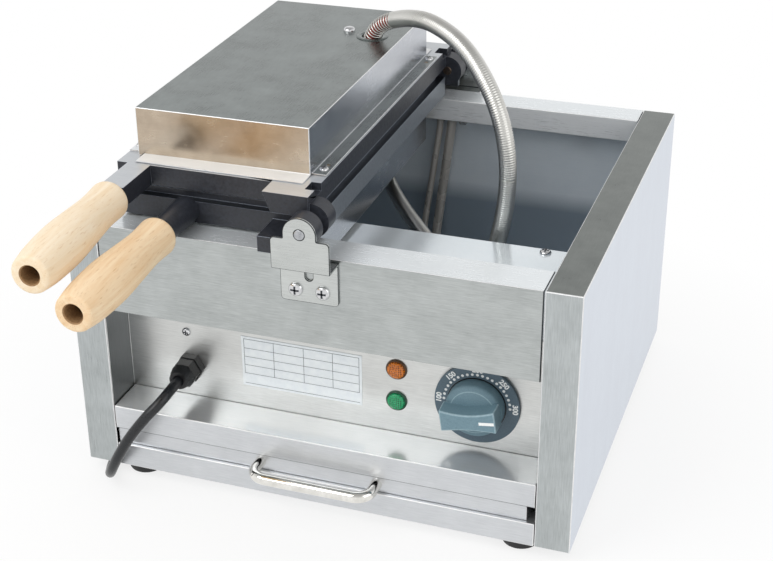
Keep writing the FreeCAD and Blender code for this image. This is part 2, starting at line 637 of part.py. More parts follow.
def lower_plate():
    """Lower casting: well in its underside, two hinge arms and the boss for its handle."""
    block = box("lower_block", (-d.plate_far, -d.plate_near), (plate_front, plate_back),
                (lower_low, lower_top))
    pad_block, pad_tools = baking_pad("lower", lower_top, -1)
    handle_z = hinge_z - d.lower_handle_down
    boss = cone("lower_boss", (-d.lower_handle_x, plate_front, handle_z), "-y", d.boss_root_r, d.boss_tip_r,
                plate_front + d.arm_reach)
    arm_z = (hinge_z - d.low_arm_low, hinge_z - d.low_arm_top)

    def hinge_arm(name, at):
        return box(name, (-d.arm_far, -d.low_arm_near), (at(d.low_arm_front), at(plate_front)), arm_z)

    def hinge_web(name, at):
        return box(name, (-d.low_arm_near, d.low_arm_tip),
                   (at(d.low_arm_front), at(d.lower_knuckle_front + d.lower_knuckle_len)), arm_z)

    def knuckle(name, at):
        low, high = ordered(at(d.lower_knuckle_front), at(d.lower_knuckle_front + d.lower_knuckle_len))
        return cylinder(name, (0, low, hinge_z), "+y", d.lower_knuckle_r, high - low)

    well = box("lower_well", (d.well_far - d.plate_far, -d.well_near),
               (plate_front + d.well_end, plate_back - d.well_end), (lower_low - 1, lower_top - d.plate_skin))
    span = d.cab_d - d.lower_knuckle_front * 2
    bore = hole("lower_bore", (0, d.lower_knuckle_front, hinge_z), "+y", d.pin_r + d.pin_gap, span)
    rod = hole("lower_rod_hole", (-d.lower_handle_x, -d.arm_reach, handle_z), "+y", d.rod_r, d.rod_root - 2)
    solids = ([block, pad_block, boss] + both_ends("lower_arm", hinge_arm)
              + both_ends("lower_web", hinge_web) + both_ends("lower_knuckle", knuckle))
    tools = [well, bore, rod] + pad_tools
    return node(cut("lower_plate", fuse("lower_casting", solids), tools), "lower_plate")


def cover(name, seat, up, opening):
    """Folded box over a casting's well, with loose flanges on all four sides."""
    far, near = -d.cover_far, -d.cover_near
    front, back = d.cover_inset, mirror_y(d.cover_inset)
    crown = seat + d.cover_h * up
    wall = d.cover_sheet
    shell = box(name + "_box", (far, near), (front, back), (seat, crown))
    inside = box(name + "_inside", (far + wall, near - wall), (front + wall, back - wall),
                 (seat - up, crown - wall * up))
    lip_z = (seat, seat + wall * up)
    trim = d.cover_lip_trim
    lips = [
        box(name + "_lip_front", (far + trim, near), (front - d.cover_lip_end, front + wall), lip_z),
        box(name + "_lip_back", (far + trim, near), (back - wall, back + d.cover_lip_end), lip_z),
        box(name + "_lip_near", (near - wall, near + d.cover_lip_side), (front + 3, back - 3), lip_z),
        box(name + "_lip_far", (far - d.cover_lip_side + 2, far + wall), (front + 3, back - 3), lip_z),
    ]
    folded = cut(name + "_folded", shell, [inside])
    tools = [hole(name + "_screw_hole", (x, y, seat), "+z" if up > 0 else "-z", d.screw_r + d.hole_gap, wall)
             for x, y in cover_screw_places()]
    x, y = opening
    tools.append(hole(name + "_conduit_hole", (x, y, crown - wall * up), "+z" if up > 0 else "-z",
                      d.conduit_hole_r, wall))
    return node(cut(name, fuse(name + "_sheet", [folded] + lips), tools), name)


def cover_screw_places():
    ends = (plate_front + d.cover_screw_end - d.well_end, plate_back - d.cover_screw_end + d.well_end)
    return [(x, y) for x in (-d.cover_screw_x, -d.cover_far - d.cover_screw_far) for y in ends]


# Where each conduit leaves its cover
upper_exit = (-39.0, 248.0)
lower_exit = (-38.0, 268.0)


def cover_fastenings(name, seat, up):
    way = "+z" if up > 0 else "-z"
    height = seat + d.cover_sheet * up
    screws = [screw("cover_screw", (x, y, height), way, d.cover_sheet) for x, y in cover_screw_places()]
    return node(group(name, screws), name)


def heater(name, level):
    """Tubular element bent into three hairpins on the floor of the well."""
    radius, bend = float(d.heater_r), float(d.heater_bend)
    far = float(d.well_far - d.plate_far + d.heater_side)
    near = float(-d.well_near - d.heater_side)
    front = float(plate_front + d.well_end + d.heater_end)
    back = float(plate_back - d.well_end - d.heater_end)
    legs = 4
    points = []
    for leg in range(legs):
        x = far + (near - far) * leg / (legs - 1)
        run = [(x, back, float(level)), (x, front, float(level))]
        points += run if leg % 2 == 0 else run[::-1]
    shape, length = tube(points, radius, bend)
    return node(solid(name, shape), name)


def insulation(name, seat, up):
    """Mineral wool that fills the cover above the heater."""
    gap = d.cover_sheet + d.wool_gap
    low, high = seat + d.wool_gap * up, seat + (d.cover_h - gap) * up
    x = (gap - d.cover_far, -d.cover_near - gap)
    y = (d.cover_inset + gap, mirror_y(d.cover_inset + gap))
    blank = box(name + "_blank", x, y, (low, high))
    exit_x, exit_y = upper_exit if up > 0 else lower_exit
    way = "+z" if up > 0 else "-z"
    opening = hole(name + "_opening", (exit_x, exit_y, low), way, d.conduit_r * 2.5, d.cover_h)
    return node(cut(name, blank, [opening]), name)


def handle_turn():
    """The upper handle's lean towards the lower one, seen in the photo."""
    return Rotation(Vector(0, 0, 1), float(d.handle_lean))


def turn_about(obj, x, y, z, rotation):
    """Turn a finished object about a point of the cabinet."""
    point = (size(x), front_y + y, d.foot_h + z)
    ends = [rotation.multVec(unit) for unit in (Vector(1, 0, 0), Vector(0, 1, 0), Vector(0, 0, 1))]
    obj.Placement = Placement(Vector(), rotation)
    for index, axis in enumerate("xyz"):
        moved = point[0] * ends[0][index] + point[1] * ends[1][index] + point[2] * ends[2][index]
        obj.setExpression(f"Placement.Base.{axis}", (point[index] - moved).text)
    return obj


def wooden_handle(name, x, z, rod_name, collar_name, turn):
    """Turned wooden grip on a rod, with the nut sunk in the bore of its end."""
    foot = -d.arm_reach
    start = float(d.collar_t)
    length = float(d.handle_len)
    neck, waist = float(d.handle_neck_r), float(d.handle_waist_r)
    swell, end = float(d.handle_swell_r), float(d.handle_end_r)
    rod_r, bore_r, bore_d = float(d.rod_r), float(d.handle_bore_r), float(d.handle_bore_d)
    shoulder = 5.0

    def at(radius, along):
        return Vector(radius, -start - along, 0)

    side = Part.BSplineCurve()
    side.interpolate([at(neck, shoulder), at(waist, 0.2 * length), at((waist + swell) / 2, 0.4 * length),
                      at(swell - 0.2, 0.56 * length), at(swell, 0.68 * length),
                      at((swell + end) / 2 + 0.7, 0.86 * length), at(end, length)])
    rod_gap = rod_r + float(d.hole_gap)
    corner = [at(rod_gap, 0), at(neck - shoulder, 0)]
    round_middle = at(neck - shoulder + shoulder * math.sin(math.pi / 4),
                      shoulder - shoulder * math.cos(math.pi / 4))
    edges = [
        Part.LineSegment(*corner).toShape(),
        Part.Arc(corner[1], round_middle, at(neck, shoulder)).toShape(),
        side.toShape(),
        Part.LineSegment(at(end, length), at(bore_r, length)).toShape(),
        Part.LineSegment(at(bore_r, length), at(bore_r, length - bore_d)).toShape(),
        Part.LineSegment(at(bore_r, length - bore_d), at(rod_gap, length - bore_d)).toShape(),
        Part.LineSegment(at(rod_gap, length - bore_d), corner[0]).toShape(),
    ]
    grip = Part.Face(Part.Wire(edges)).revolve(Vector(), Vector(0, 1, 0), 360)
    wood = doc.addObject("Part::Feature", name)
    wood.Shape = grip
    place(wood, x, foot, z, turn)
    node(wood, name)
    rod_len = d.rod_root - 2 + d.collar_t + d.handle_len - d.handle_bore_d + d.rod_nut_h + 2
    rod = cylinder(rod_name + "_bar", (x, d.rod_root - 2 + foot, z), "-y", d.rod_r, rod_len)
    nut_y = foot - d.collar_t - d.handle_len + d.handle_bore_d
    nut = hexagon(rod_name + "_nut", (x, nut_y, z), "-y", d.rod_nut_r, d.rod_nut_h)
    node(turn_about(fuse(rod_name, [rod, nut]), x, foot, z, turn), rod_name)
    ring = cylinder(collar_name + "_ring", (x, foot, z), "-y", d.collar_r, d.collar_t)
    bore = hole(collar_name + "_bore", (x, foot, z), "-y", d.rod_r + d.hole_gap, d.collar_t)
    node(turn_about(cut(collar_name, ring, [bore]), x, foot, z, turn), collar_name)


def dial():
    """Temperature dial: bezel on the panel, knob on the thermostat's shaft behind it."""
    x, z, face = d.dial_x, d.dial_z, d.recess_d
    disc = cylinder("bezel_disc", (x, face - d.bezel_t, z), "+y", d.bezel_r, d.bezel_t)
    sink = cylinder("bezel_sink", (x, face, z), "-y", d.knob_r - 1, d.head_h + d.knob_gap)
    eye = hole("bezel_eye", (x, face - d.bezel_t, z), "+y", d.shaft_r * 2, d.bezel_t)
    node(cut("dial_bezel", disc, [sink, eye]), "dial_bezel")

    back = face - d.bezel_t - d.knob_gap
    rounding = d.knob_base / 4
    rim = [(0, 0), (d.knob_r, 0), (d.knob_r, d.knob_base - rounding), (d.knob_r - rounding, d.knob_base),
           (0, d.knob_base)]
    base = turned("knob_base_disc", rim, (x, back, z), "-y")
    half, side, dip = d.grip_len / 2, d.grip_w / 2, d.grip_waist
    shallow = side - dip * 0.75
    upper = [(half, side), (half / 2, shallow), (0, side - dip), (-half / 2, shallow), (-half, side)]
    lower = [(-half, -side), (-half / 2, -shallow), (0, dip - side), (half / 2, -shallow), (half, -side)]
    angle = math.radians(float(d.grip_turn))
    outline = [(x + u * math.cos(angle) - v * math.sin(angle), z + u * math.sin(angle) + v * math.cos(angle))
               for u, v in ((size(u), size(v)) for u, v in upper + lower)]
    grip = pad("knob_grip", "y", outline, (back - d.knob_base - d.grip_h, back - d.knob_base + 1))
    shaft_in = d.knob_base
    bore = hole("knob_bore", (x, back, z), "-y", d.shaft_r, shaft_in - 2)
    node(cut("dial_knob", fuse("knob_blank", [base, grip]), [bore]), "dial_knob")

    shaft_start = back - shaft_in
    reach = d.stat_d / 2
    node(cylinder("thermostat_shaft", (x, shaft_start, z), "+y", d.shaft_r,
                  panel_back + reach - shaft_start), "thermostat_shaft")
    case = box("stat_case", (x - d.stat_w / 2, x + d.stat_w / 2), (panel_back, panel_back + d.stat_d),
               (z - d.stat_h / 2, z + d.stat_h / 2))
    spindle = hole("stat_spindle_hole", (x, panel_back, z), "+y", d.shaft_r + d.pin_gap, reach - 1)
    tools = [spindle]
    screws = []
    for side in (-1, 1):
        screw_x = x + d.stat_screw * side
        tools.append(hole("stat_thread", (screw_x, panel_back, z), "+y", d.screw_r + d.hole_gap, size(7)))
        screws.append(screw("stat_screw_solid", (screw_x, face, z), "-y", d.sheet + 6))
    node(cut("thermostat", case, tools), "thermostat")
    node(group("thermostat_screws", screws), "thermostat_screws")


def lamps():
    holders = []
    for name, z in (("amber_lamp", d.amber_z), ("green_lamp", d.green_z)):
        front = d.recess_d
        outline = [(0, 0), (d.lens_rim_r, 0), (d.lens_rim_r, 1.2), (d.lens_r, 1.6), (d.lens_r, d.lens_h - 1),
                   (d.lens_r * 0.7, d.lens_h), (0, d.lens_h + 0.4)]
        node(turned(name, outline, (d.lamp_x, front, z), "-y"), name)
        body = cylinder("lamp_body", (d.lamp_x, front, z), "+y", d.lamp_body_r, d.lamp_body_len)
        nut = cylinder("lamp_nut", (d.lamp_x, panel_back, z), "+y", d.lamp_nut_r, size(3))
        holders.append(fuse("lamp_holder", [body, nut]))
    node(group("lamp_holders", holders), "lamp_holders")


def cable_gland():
    """Gland body through the panel, its dome nut in front and its locknut behind."""
    x, z, face = d.gland_x, d.gland_z, d.recess_d
    collar = hexagon("gland_collar", (x, face, z), "-y", d.gland_hex_r, d.gland_hex_t)
    thread_len = panel_back - face + d.gland_hex_t + 2
    thread = cylinder("gland_thread", (x, face, z), "+y", d.gland_thread_r, thread_len)
    bore_len = thread_len + d.gland_hex_t
    bore = hole("gland_bore", (x, face + thread_len, z), "-y", d.gland_bore_r, bore_len)
    node(cut("cable_gland", fuse("gland_blank", [collar, thread]), [bore]), "cable_gland")
    front = face - d.gland_hex_t
    straight = d.gland_nut_len * 0.55
    nut = hexagon("gland_nut_hex", (x, front, z), "-y", d.gland_hex_r - 1, straight)
    dome = cone("gland_nut_dome", (x, front - straight, z), "-y", d.gland_hex_r - 2, d.gland_tip_r,
                d.gland_nut_len - straight)
    nut_bore = hole("gland_nut_bore", (x, front, z), "-y", d.gland_bore_r, d.gland_nut_len)
    node(cut("gland_nut", fuse("gland_nut_blank", [nut, dome]), [nut_bore]), "gland_nut")
    lock = hexagon("gland_locknut_hex", (x, panel_back, z), "+y", d.gland_hex_r, size(5))
    lock_bore = hole("gland_locknut_bore", (x, panel_back, z), "+y", d.gland_thread_r + d.hole_gap, size(5))
    node(cut("gland_locknut", lock, [lock_bore]), "gland_locknut")


def panel_details():
    """Terminal block on the compartment floor, rating plate and the sheet-metal screws."""
    length, depth, height = 64.0, 24.0, 14.0
    x0, y0 = -40.0, panel_back + 40
    rail = box("terminal_rail", (x0, x0 + length), (y0, y0 + depth), (d.floor_z, d.floor_z + height))
    poles = 4
    posts = []
    for pole in range(poles):
        left = x0 + 3 + pole * (length - 6) / poles
        posts.append(box("terminal_post", (left, left + length / poles - 5), (y0 + 4, y0 + depth - 4),
                         (d.floor_z + height, d.floor_z + height + 7)))
    node(fuse("terminal_block", [rail] + posts), "terminal_block")
    node(box("rating_plate", (d.label_x, d.label_x + d.label_w), (d.recess_d - d.label_t, d.recess_d),
             (d.label_z, d.label_z + d.label_h)), "rating_plate")
    depth = d.sheet + 6
    screws = [screw("panel_screw", (d.panel_screw_x, d.recess_d, d.panel_screw_z), "-y", depth)]
    for side in (-1, 1):
        screws.append(screw("deck_screw", (d.deck_screw_x * side, d.deck_screw_y, d.deck_z), "+z", depth))
    node(group("panel_screws", screws), "panel_screws")


def conduits():
    """Flexible conduits from the covers to the wiring compartment, and their connectors."""
    step, wall = float(d.step_z), float(d.deck_d)
    crown, under = float(upper_top + d.cover_h), float(lower_low - d.cover_h)
    upper_route = [
        (upper_exit[0] - 2.5, upper_exit[1] + 1.6, crown - 6), (-36.0, 246.0, crown + 6),
        (-24.0, 238.3, crown + 16.5), (-8.0, 228.0, crown + 24.2), (7.5, 218.0, crown + 29),
        (22.0, 208.6, crown + 31), (36.5, 199.3, crown + 29.2), (51.0, 190.0, crown + 25),
        (65.5, 180.6, crown + 16.5), (79.0, 172.0, crown + 3), (90.5, 164.5, crown - 13),
        (99.0, 159.0, crown - 32), (104.0, 155.8, crown - 54), (105.0, 155.2, crown - 76),
        (102.5, 156.8, crown - 102), (96.0, 161.0, crown - 132), (88.5, 165.8, crown - 160),
        (upper_entry[0], upper_entry[1], step + 22),
        (upper_entry[0], upper_entry[1], step + 0.1),
    ]
    lower_route = [
        (lower_exit[0] - 1.5, lower_exit[1] + 2, under + 5), (-34.5, 263.0, under - 7),
        (-24.0, 248.5, under - 16), (-10.0, 230.0, under - 21), (7.0, 208.0, under - 24),
        (28.0, 181.0, under - 25.5), (lower_entry[0], 161.0, lower_entry[1]),
        (lower_entry[0], wall + 0.1, lower_entry[1]),
    ]
    for name, route, radius in (("upper_conduit", upper_route, d.conduit_r),
                                ("lower_conduit", lower_route, d.lower_conduit_r)):
        shape, length = tube(route, float(radius))
        node(solid(name, shape), name)
    rings = []
    for start, way, radius in (((upper_entry[0], upper_entry[1], d.step_z), "+z", d.conduit_r),
                               ((lower_entry[0], d.deck_d, lower_entry[1]), "+y", d.lower_conduit_r)):
        ring = hexagon("connector_hex", start, way, d.connector_r, d.connector_h)
        bore = hole("connector_bore", start, way, radius + d.connector_gap, d.connector_h)
        rings.append(cut("connector", ring, [bore]))
    node(group("conduit_connectors", rings), "conduit_connectors")


def rear_tubes():
    """Two wiring tubes that stand in front of the back wall, from the base pan to the top flange."""
    top, bottom = float(d.cab_h - d.sheet), float(d.sheet)
    y = 344.5
    wide = [(3.5, y, top), (3.5, y, 194.0), (-11.5, y, 74.0), (-13.0, y, 40.0), (-13.0, y, bottom)]
    slim = [(-8.0, y, top), (-8.0, y, 186.0), (-23.5, y, 80.0), (-25.5, y, 40.0), (-25.5, y, bottom)]
    tubes = []
    pair = (("wide_tube", wide, d.rear_tube_r), ("slim_tube", slim, d.rear_tube_small_r))
    for label, route, radius in pair:
        shape, length = tube(route, float(radius))
        tubes.append(solid(label, shape))
    node(group("rear_tubes", tubes), "rear_tubes")


def mains_lead():
    """Lead from the gland down to the floor and under the cabinet, its coil behind it, tie and plug."""
    r = float(d.lead_r)
    floor = float(floor_level) + r + 0.1
    x, z, tip = float(d.gland_x), float(d.gland_z), float(d.recess_d - d.gland_hex_t - d.gland_nut_len)
    coil_x, coil_y, mid = float(d.coil_x), float(d.coil_y), float(d.coil_mid_r)
    left, back = coil_x - mid, coil_y + mid
    route = [
        (x, tip + 11, z), (x, tip - 7, z), (x - 0.5, -9.0, z - 1.7), (x - 4.5, -18.5, z - 7),
        (x - 12.5, -25.0, z - 15.7),
        (-144.0, -30.0, 49.5), (-151.8, -31.3, 36.0), (-158.2, -30.8, 24.5), (-164.4, -27.5, 13.0),
        (-170.7, -20.0, 3.6), (-177.0, -8.7, -3.2), (-182.8, 5.0, floor), (-186.2, 22.0, floor),
        (-187.5, 48.0, floor), (-186.5, 110.0, floor), (-188.5, 190.0, floor), (-187.0, 270.0, floor),
        (left - 1.0, 335.0, floor), (left, 385.0, floor), (left, coil_y, floor),
    ]
    first, length = tube(route, r)
    height = d.lead_r * 2 * d.coil_turns
    crown = float(floor_level + height) - r
    plug_x, plug_y, plug_z = coil_x + 118.0, back - 14.0, floor + 5.6
    tail_route = [
        (coil_x, back, crown), (coil_x + 22, back, crown - 0.5), (coil_x + 50, back - 3.0, crown - 7),
        (coil_x + 78, back - 9.0, crown - 14), (coil_x + 98, plug_y + 1.0, plug_z + 0.4),
        (plug_x, plug_y, plug_z),
    ]
    tail, tail_length = tube(tail_route, r)
    print(f"lead outside its coil {length + tail_length:.0f}, in the coil",
          f"{2 * math.pi * mid * float(d.coil_turns):.0f}")
    node(group("power_cord", [solid("lead_run", first), solid("lead_tail", tail)]), "power_cord")
    outer = cylinder("coil_outer", (d.coil_x, d.coil_y, floor_level), "+z", d.coil_mid_r + d.lead_r, height)
    inner = hole("coil_inner", (d.coil_x, d.coil_y, floor_level), "+z", d.coil_mid_r - d.lead_r, height)
    node(cut("cord_coil", outer, [inner]), "cord_coil")
    tie_x = d.coil_x + d.coil_mid_r
    half = d.lead_r + d.tie_t
    band = box("tie_band", (tie_x - half, tie_x + half), (d.coil_y - d.tie_w / 2, d.coil_y + d.tie_w / 2),
               (floor_level, floor_level + height + d.tie_t))
    hollow = box("tie_hollow", (tie_x - d.lead_r, tie_x + d.lead_r),
                 (d.coil_y - d.tie_w, d.coil_y + d.tie_w), (floor_level - 1, floor_level + height))
    node(cut("cord_tie", band, [hollow]), "cord_tie")
    nose = cone("plug_nose", (plug_x, plug_y, plug_z), "+x", d.plug_nose_r, d.plug_nose_r + 2, size(16))
    body = box("plug_block", (plug_x + 14, plug_x + 14 + d.plug_len),
               (plug_y - d.plug_w / 2, plug_y + d.plug_w / 2), (floor_level, floor_level + d.plug_h))
    node(fuse("plug_body", [nose, body]), "plug_body")
    face_x = plug_x + 14 + d.plug_len
    level = floor_level + d.plug_h / 2
    pins = []
    for offset, lift in ((-9.5, -2.5), (9.5, -2.5), (0.0, 6.5)):
        wide, tall = (d.pin_t, d.pin_w) if lift > 0 else (d.pin_w, d.pin_t)
        pins.append(box("plug_pin", (face_x, face_x + d.pin_len),
                        (plug_y + offset - wide / 2, plug_y + offset + wide / 2),
                        (level + lift - tall / 2, level + lift + tall / 2)))
    node(group("plug_pins", pins), "plug_pins")


def build():
    side_panel("left_side_panel", -1)
    side_panel("right_side_panel", 1)
    front_fascia()
    control_panel()
    shelf()
    base_pan()
    back_panel()
    compartment()
    drawer_runner("left_drawer_runner", -1)
    drawer_runner("right_drawer_runner", 1)
    feet()
    crumb_tray()
    hinges()
    lower_plate()
    upper_plate()
    cover("lower_cover", lower_low, -1, lower_exit)
    cover("upper_cover", upper_top, 1, upper_exit)
    cover_fastenings("lower_cover_screws", lower_low, -1)
    cover_fastenings("upper_cover_screws", upper_top, 1)
    heater("lower_heater", lower_top - d.plate_skin - d.heater_r - 0.2)
    heater("upper_heater", upper_low + d.plate_skin + d.heater_r + 0.2)
    insulation("lower_insulation", lower_low, -1)
    insulation("upper_insulation", upper_top, 1)
    wooden_handle("lower_handle", -d.lower_handle_x, hinge_z - d.lower_handle_down,
                  "lower_handle_rod", "lower_handle_collar", Rotation())
    wooden_handle("upper_handle", -d.upper_handle_x, hinge_z + d.upper_handle_up,
                  "upper_handle_rod", "upper_handle_collar", handle_turn())
    dial()
    lamps()
    cable_gland()
    panel_details()
    conduits()
    rear_tubes()
    mains_lead()


def check_and_export():
    doc.recompute()
    broken = [obj.Label for obj in doc.Objects if {"Invalid", "Error"} & set(obj.State)]
    if broken:
        raise RuntimeError(f"objects that failed: {broken}")
    for name, obj in NODES:
        if obj.Shape.isNull() or not obj.Shape.isValid():
            raise RuntimeError(f"{name} has no valid shape")
        if not obj.Shape.Solids:
            raise RuntimeError(f"{name} has no solid")
    os.makedirs("parts", exist_ok=True)
    for name, obj in NODES:
        obj.Shape.exportStep(os.path.join("parts", name + ".step"))
    print(f"{len(NODES)} nodes written")


build()
check_and_export()
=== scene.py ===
import json
import math

import bmesh
import bpy
from mathutils import Matrix, Quaternion, Vector

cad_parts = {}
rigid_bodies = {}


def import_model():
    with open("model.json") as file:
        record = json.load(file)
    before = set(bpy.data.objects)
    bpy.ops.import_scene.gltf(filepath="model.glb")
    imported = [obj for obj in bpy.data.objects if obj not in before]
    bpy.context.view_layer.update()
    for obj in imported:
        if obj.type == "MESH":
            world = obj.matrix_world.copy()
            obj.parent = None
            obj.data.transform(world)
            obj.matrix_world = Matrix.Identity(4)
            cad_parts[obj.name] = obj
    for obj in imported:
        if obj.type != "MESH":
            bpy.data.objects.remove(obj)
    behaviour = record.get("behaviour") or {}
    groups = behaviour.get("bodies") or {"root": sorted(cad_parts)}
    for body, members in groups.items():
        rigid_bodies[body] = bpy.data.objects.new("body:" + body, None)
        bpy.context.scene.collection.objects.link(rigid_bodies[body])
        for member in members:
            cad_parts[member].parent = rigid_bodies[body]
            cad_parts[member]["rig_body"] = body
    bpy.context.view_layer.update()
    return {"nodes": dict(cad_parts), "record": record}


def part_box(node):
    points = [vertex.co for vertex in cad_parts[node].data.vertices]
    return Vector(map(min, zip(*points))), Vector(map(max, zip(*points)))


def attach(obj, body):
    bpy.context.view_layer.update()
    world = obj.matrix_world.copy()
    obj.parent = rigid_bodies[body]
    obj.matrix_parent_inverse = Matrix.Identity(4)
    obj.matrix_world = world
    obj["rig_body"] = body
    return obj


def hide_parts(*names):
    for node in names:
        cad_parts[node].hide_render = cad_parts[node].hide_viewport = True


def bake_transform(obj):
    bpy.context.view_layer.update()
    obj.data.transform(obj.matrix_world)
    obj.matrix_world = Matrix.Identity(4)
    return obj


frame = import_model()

scene = bpy.context.scene
slots = {row["node"]: row["material_slot"] for row in frame["record"]["subparts"]}

# The part's origin lies behind the cabinet's front plane and below its sheet, in millimetres
front_to_origin = 113.3
foot_height = 10.0


def mm(x, y, z):
    """A point in millimetres from the cabinet's front plane and sheet bottom, as a point of the part."""
    return Vector((x, y - front_to_origin, z + foot_height)) / 1000.0


def in_mm(point):
    """A point of the part in millimetres from the cabinet's front plane and sheet bottom."""
    return (point.x * 1000.0, point.y * 1000.0 + front_to_origin, point.z * 1000.0 - foot_height)


def box_mm(node):
    """The low and high corners of a solid in the same millimetres, to a thousandth."""
    return [[round(value, 3) for value in in_mm(corner)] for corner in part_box(node)]


def rgb(text):
    """An sRGB hex colour as linear values."""
    values = [int(text[place:place + 2], 16) / 255 for place in (1, 3, 5)]
    linear = [v / 12.92 if v <= 0.04045 else ((v + 0.055) / 1.055) ** 2.4 for v in values]
    return (*linear, 1.0)


def linked(name, data):
    """A new object in the scene."""
    obj = bpy.data.objects.new(name, data)
    scene.collection.objects.link(obj)
    return obj


def blank_tree(owner):
    """The node tree of a new material or world, emptied."""
    owner.use_nodes = True
    owner.node_tree.nodes.clear()
    return owner.node_tree


def add(tree, kind, sockets=None, **settings):
    """Add a node, with its settings, its socket values and the links that come into it."""
    node = tree.nodes.new(kind)
    for key, value in settings.items():
        setattr(node, key, value)
    for key, value in (sockets or {}).items():
        if isinstance(value, bpy.types.NodeSocket):
            tree.links.new(value, node.inputs[key])
        else:
            node.inputs[key].default_value = value
    return node


def ranged(tree, value, low, high, to_low=0.0, to_high=1.0):
    """A value taken from one range to another."""
    sockets = {"Value": value, "From Min": low, "From Max": high, "To Min": to_low, "To Max": to_high}
    return add(tree, "ShaderNodeMapRange", sockets).outputs[0]


def mixed(tree, share, one, two):
    """A value between two others."""
    return add(tree, "ShaderNodeMix", {0: share, 2: one, 3: two}).outputs[0]


def between(tree, share, one, two):
    """A colour between two others."""
    return add(tree, "ShaderNodeMix", {0: share, 6: one, 7: two}, data_type="RGBA").outputs[2]


def noise(tree, vector, scale, detail, roughness=0.5, distortion=0.0):
    """A cloudy pattern."""
    sockets = {"Vector": vector, "Scale": scale, "Detail": detail, "Roughness": roughness,
               "Distortion": distortion}
    return add(tree, "ShaderNodeTexNoise", sockets).outputs[0]


def drawn_out(tree, vector, across, lengthwise, along):
    """Coordinates for a grain of a width and a length in millimetres along one axis."""
    scale = [1000.0 / across] * 3
    scale["xyz".index(along)] = 1000.0 / lengthwise
    return add(tree, "ShaderNodeMapping", {"Vector": vector, "Scale": scale}).outputs[0]


# Camera, solved from the cabinet's edges in the photo, with its focal length and centre in pixels
picture_wide, picture_high = 773, 561
focal_length = 1555.49
centre_x, centre_y = 348.474, 282.467
camera_place = Vector((0.3799315, -1.0371434, 0.7210125))
view_right = Vector((0.9381812, 0.3456683, -0.0181495))
view_down = Vector((0.1440431, -0.4375514, -0.8875812))
view_ahead = Vector((-0.31475, 0.8300977, -0.4602937))
camera = bpy.data.cameras.new("camera")
camera.sensor_width = 36.0
camera.lens = focal_length / picture_wide * 36.0
camera.shift_x = (picture_wide / 2 - centre_x) / picture_wide
camera.shift_y = (centre_y - picture_high / 2) / picture_wide
camera_object = linked("camera", camera)
camera_turn = Matrix((view_right, -view_down, -view_ahead)).transposed().to_4x4()
camera_object.matrix_world = Matrix.Translation(camera_place) @ camera_turn
scene.camera = camera_object
scene.view_settings.view_transform = "Standard"


# Studio: white surroundings, pale floor, one large soft lamp and a weak fill
def studio_world():
    """White surroundings. Metal sees white near the horizon and a greyer ceiling above."""
    world = bpy.data.worlds.new("studio")
    scene.world = world
    tree = blank_tree(world)
    path = add(tree, "ShaderNodeLightPath").outputs
    coords = add(tree, "ShaderNodeTexCoord").outputs
    parts = add(tree, "ShaderNodeSeparateXYZ", {0: coords["Generated"]}).outputs
    ceiling = ranged(tree, parts["Z"], 0.3, 0.9, 1.0, 0.5)
    rays = {0: path["Is Camera Ray"], 1: path["Is Transmission Ray"]}
    seen = add(tree, "ShaderNodeMath", rays, operation="MAXIMUM").outputs[0]
    mirrored = mixed(tree, path["Is Glossy Ray"], 0.8, ceiling)
    strength = mixed(tree, seen, mirrored, 1.0)
    light = add(tree, "ShaderNodeBackground", {"Color": (1, 1, 1, 1), "Strength": strength})
    add(tree, "ShaderNodeOutputWorld", {"Surface": light.outputs[0]})


def studio_floor():
    """Pale floor that keeps the object's shadow and turns white away from it."""
    reach = 6.0
    shadow_reach, white_from = 0.24, 0.5
    material = bpy.data.materials.new("pale_floor")
    tree = blank_tree(material)
    path = add(tree, "ShaderNodeLightPath").outputs
    coords = add(tree, "ShaderNodeTexCoord").outputs
    away = add(tree, "ShaderNodeVectorMath", {0: coords["Object"]}, operation="LENGTH").outputs["Value"]
    fade = ranged(tree, away, shadow_reach, white_from, 0.78)
    rays = {0: path["Is Camera Ray"], 1: path["Is Glossy Ray"]}
    seen = add(tree, "ShaderNodeMath", rays, operation="MAXIMUM").outputs[0]
    share = add(tree, "ShaderNodeMath", {0: fade, 1: seen}, operation="MULTIPLY").outputs[0]
    matt = add(tree, "ShaderNodeBsdfDiffuse", {"Color": rgb("#f4f4f3")}).outputs[0]
    white = add(tree, "ShaderNodeEmission", {"Color": (1, 1, 1, 1), "Strength": 1.0}).outputs[0]
    surface = add(tree, "ShaderNodeMixShader", {0: share, 1: matt, 2: white}).outputs[0]
    add(tree, "ShaderNodeOutputMaterial", {"Surface": surface})
    mesh = bpy.data.meshes.new("floor")
    corners = [(-reach, -reach, 0), (reach, -reach, 0), (reach, reach, 0), (-reach, reach, 0)]
    mesh.from_pydata(corners, [], [(0, 1, 2, 3)])
    mesh.materials.append(material)
    linked("floor", mesh)


def studio_lamp(name, place, energy, size):
    """Soft square lamp that looks at the middle of the object."""
    lamp = bpy.data.lights.new(name, "AREA")
    lamp.energy = energy
    lamp.size = size
    aim = Vector((0.0, 0.0, 0.15)) - Vector(place)
    turn = aim.to_track_quat("-Z", "Y").to_matrix().to_4x4()
    linked(name, lamp).matrix_world = Matrix.Translation(place) @ turn


studio_world()
studio_floor()
studio_lamp("key", (-0.75, -1.05, 1.45), 12.0, 1.1)
studio_lamp("fill", (1.5, -0.5, 1.0), 4.0, 1.2)


# Finishes
def finish(name, sockets):
    """A material with one Principled shader, and the coordinates its patterns lie in."""
    material = bpy.data.materials.new(name)
    tree = blank_tree(material)
    shader = add(tree, "ShaderNodeBsdfPrincipled", sockets)
    add(tree, "ShaderNodeOutputMaterial", {"Surface": shader.outputs[0]})
    return material, tree, shader, add(tree, "ShaderNodeTexCoord").outputs["Object"]


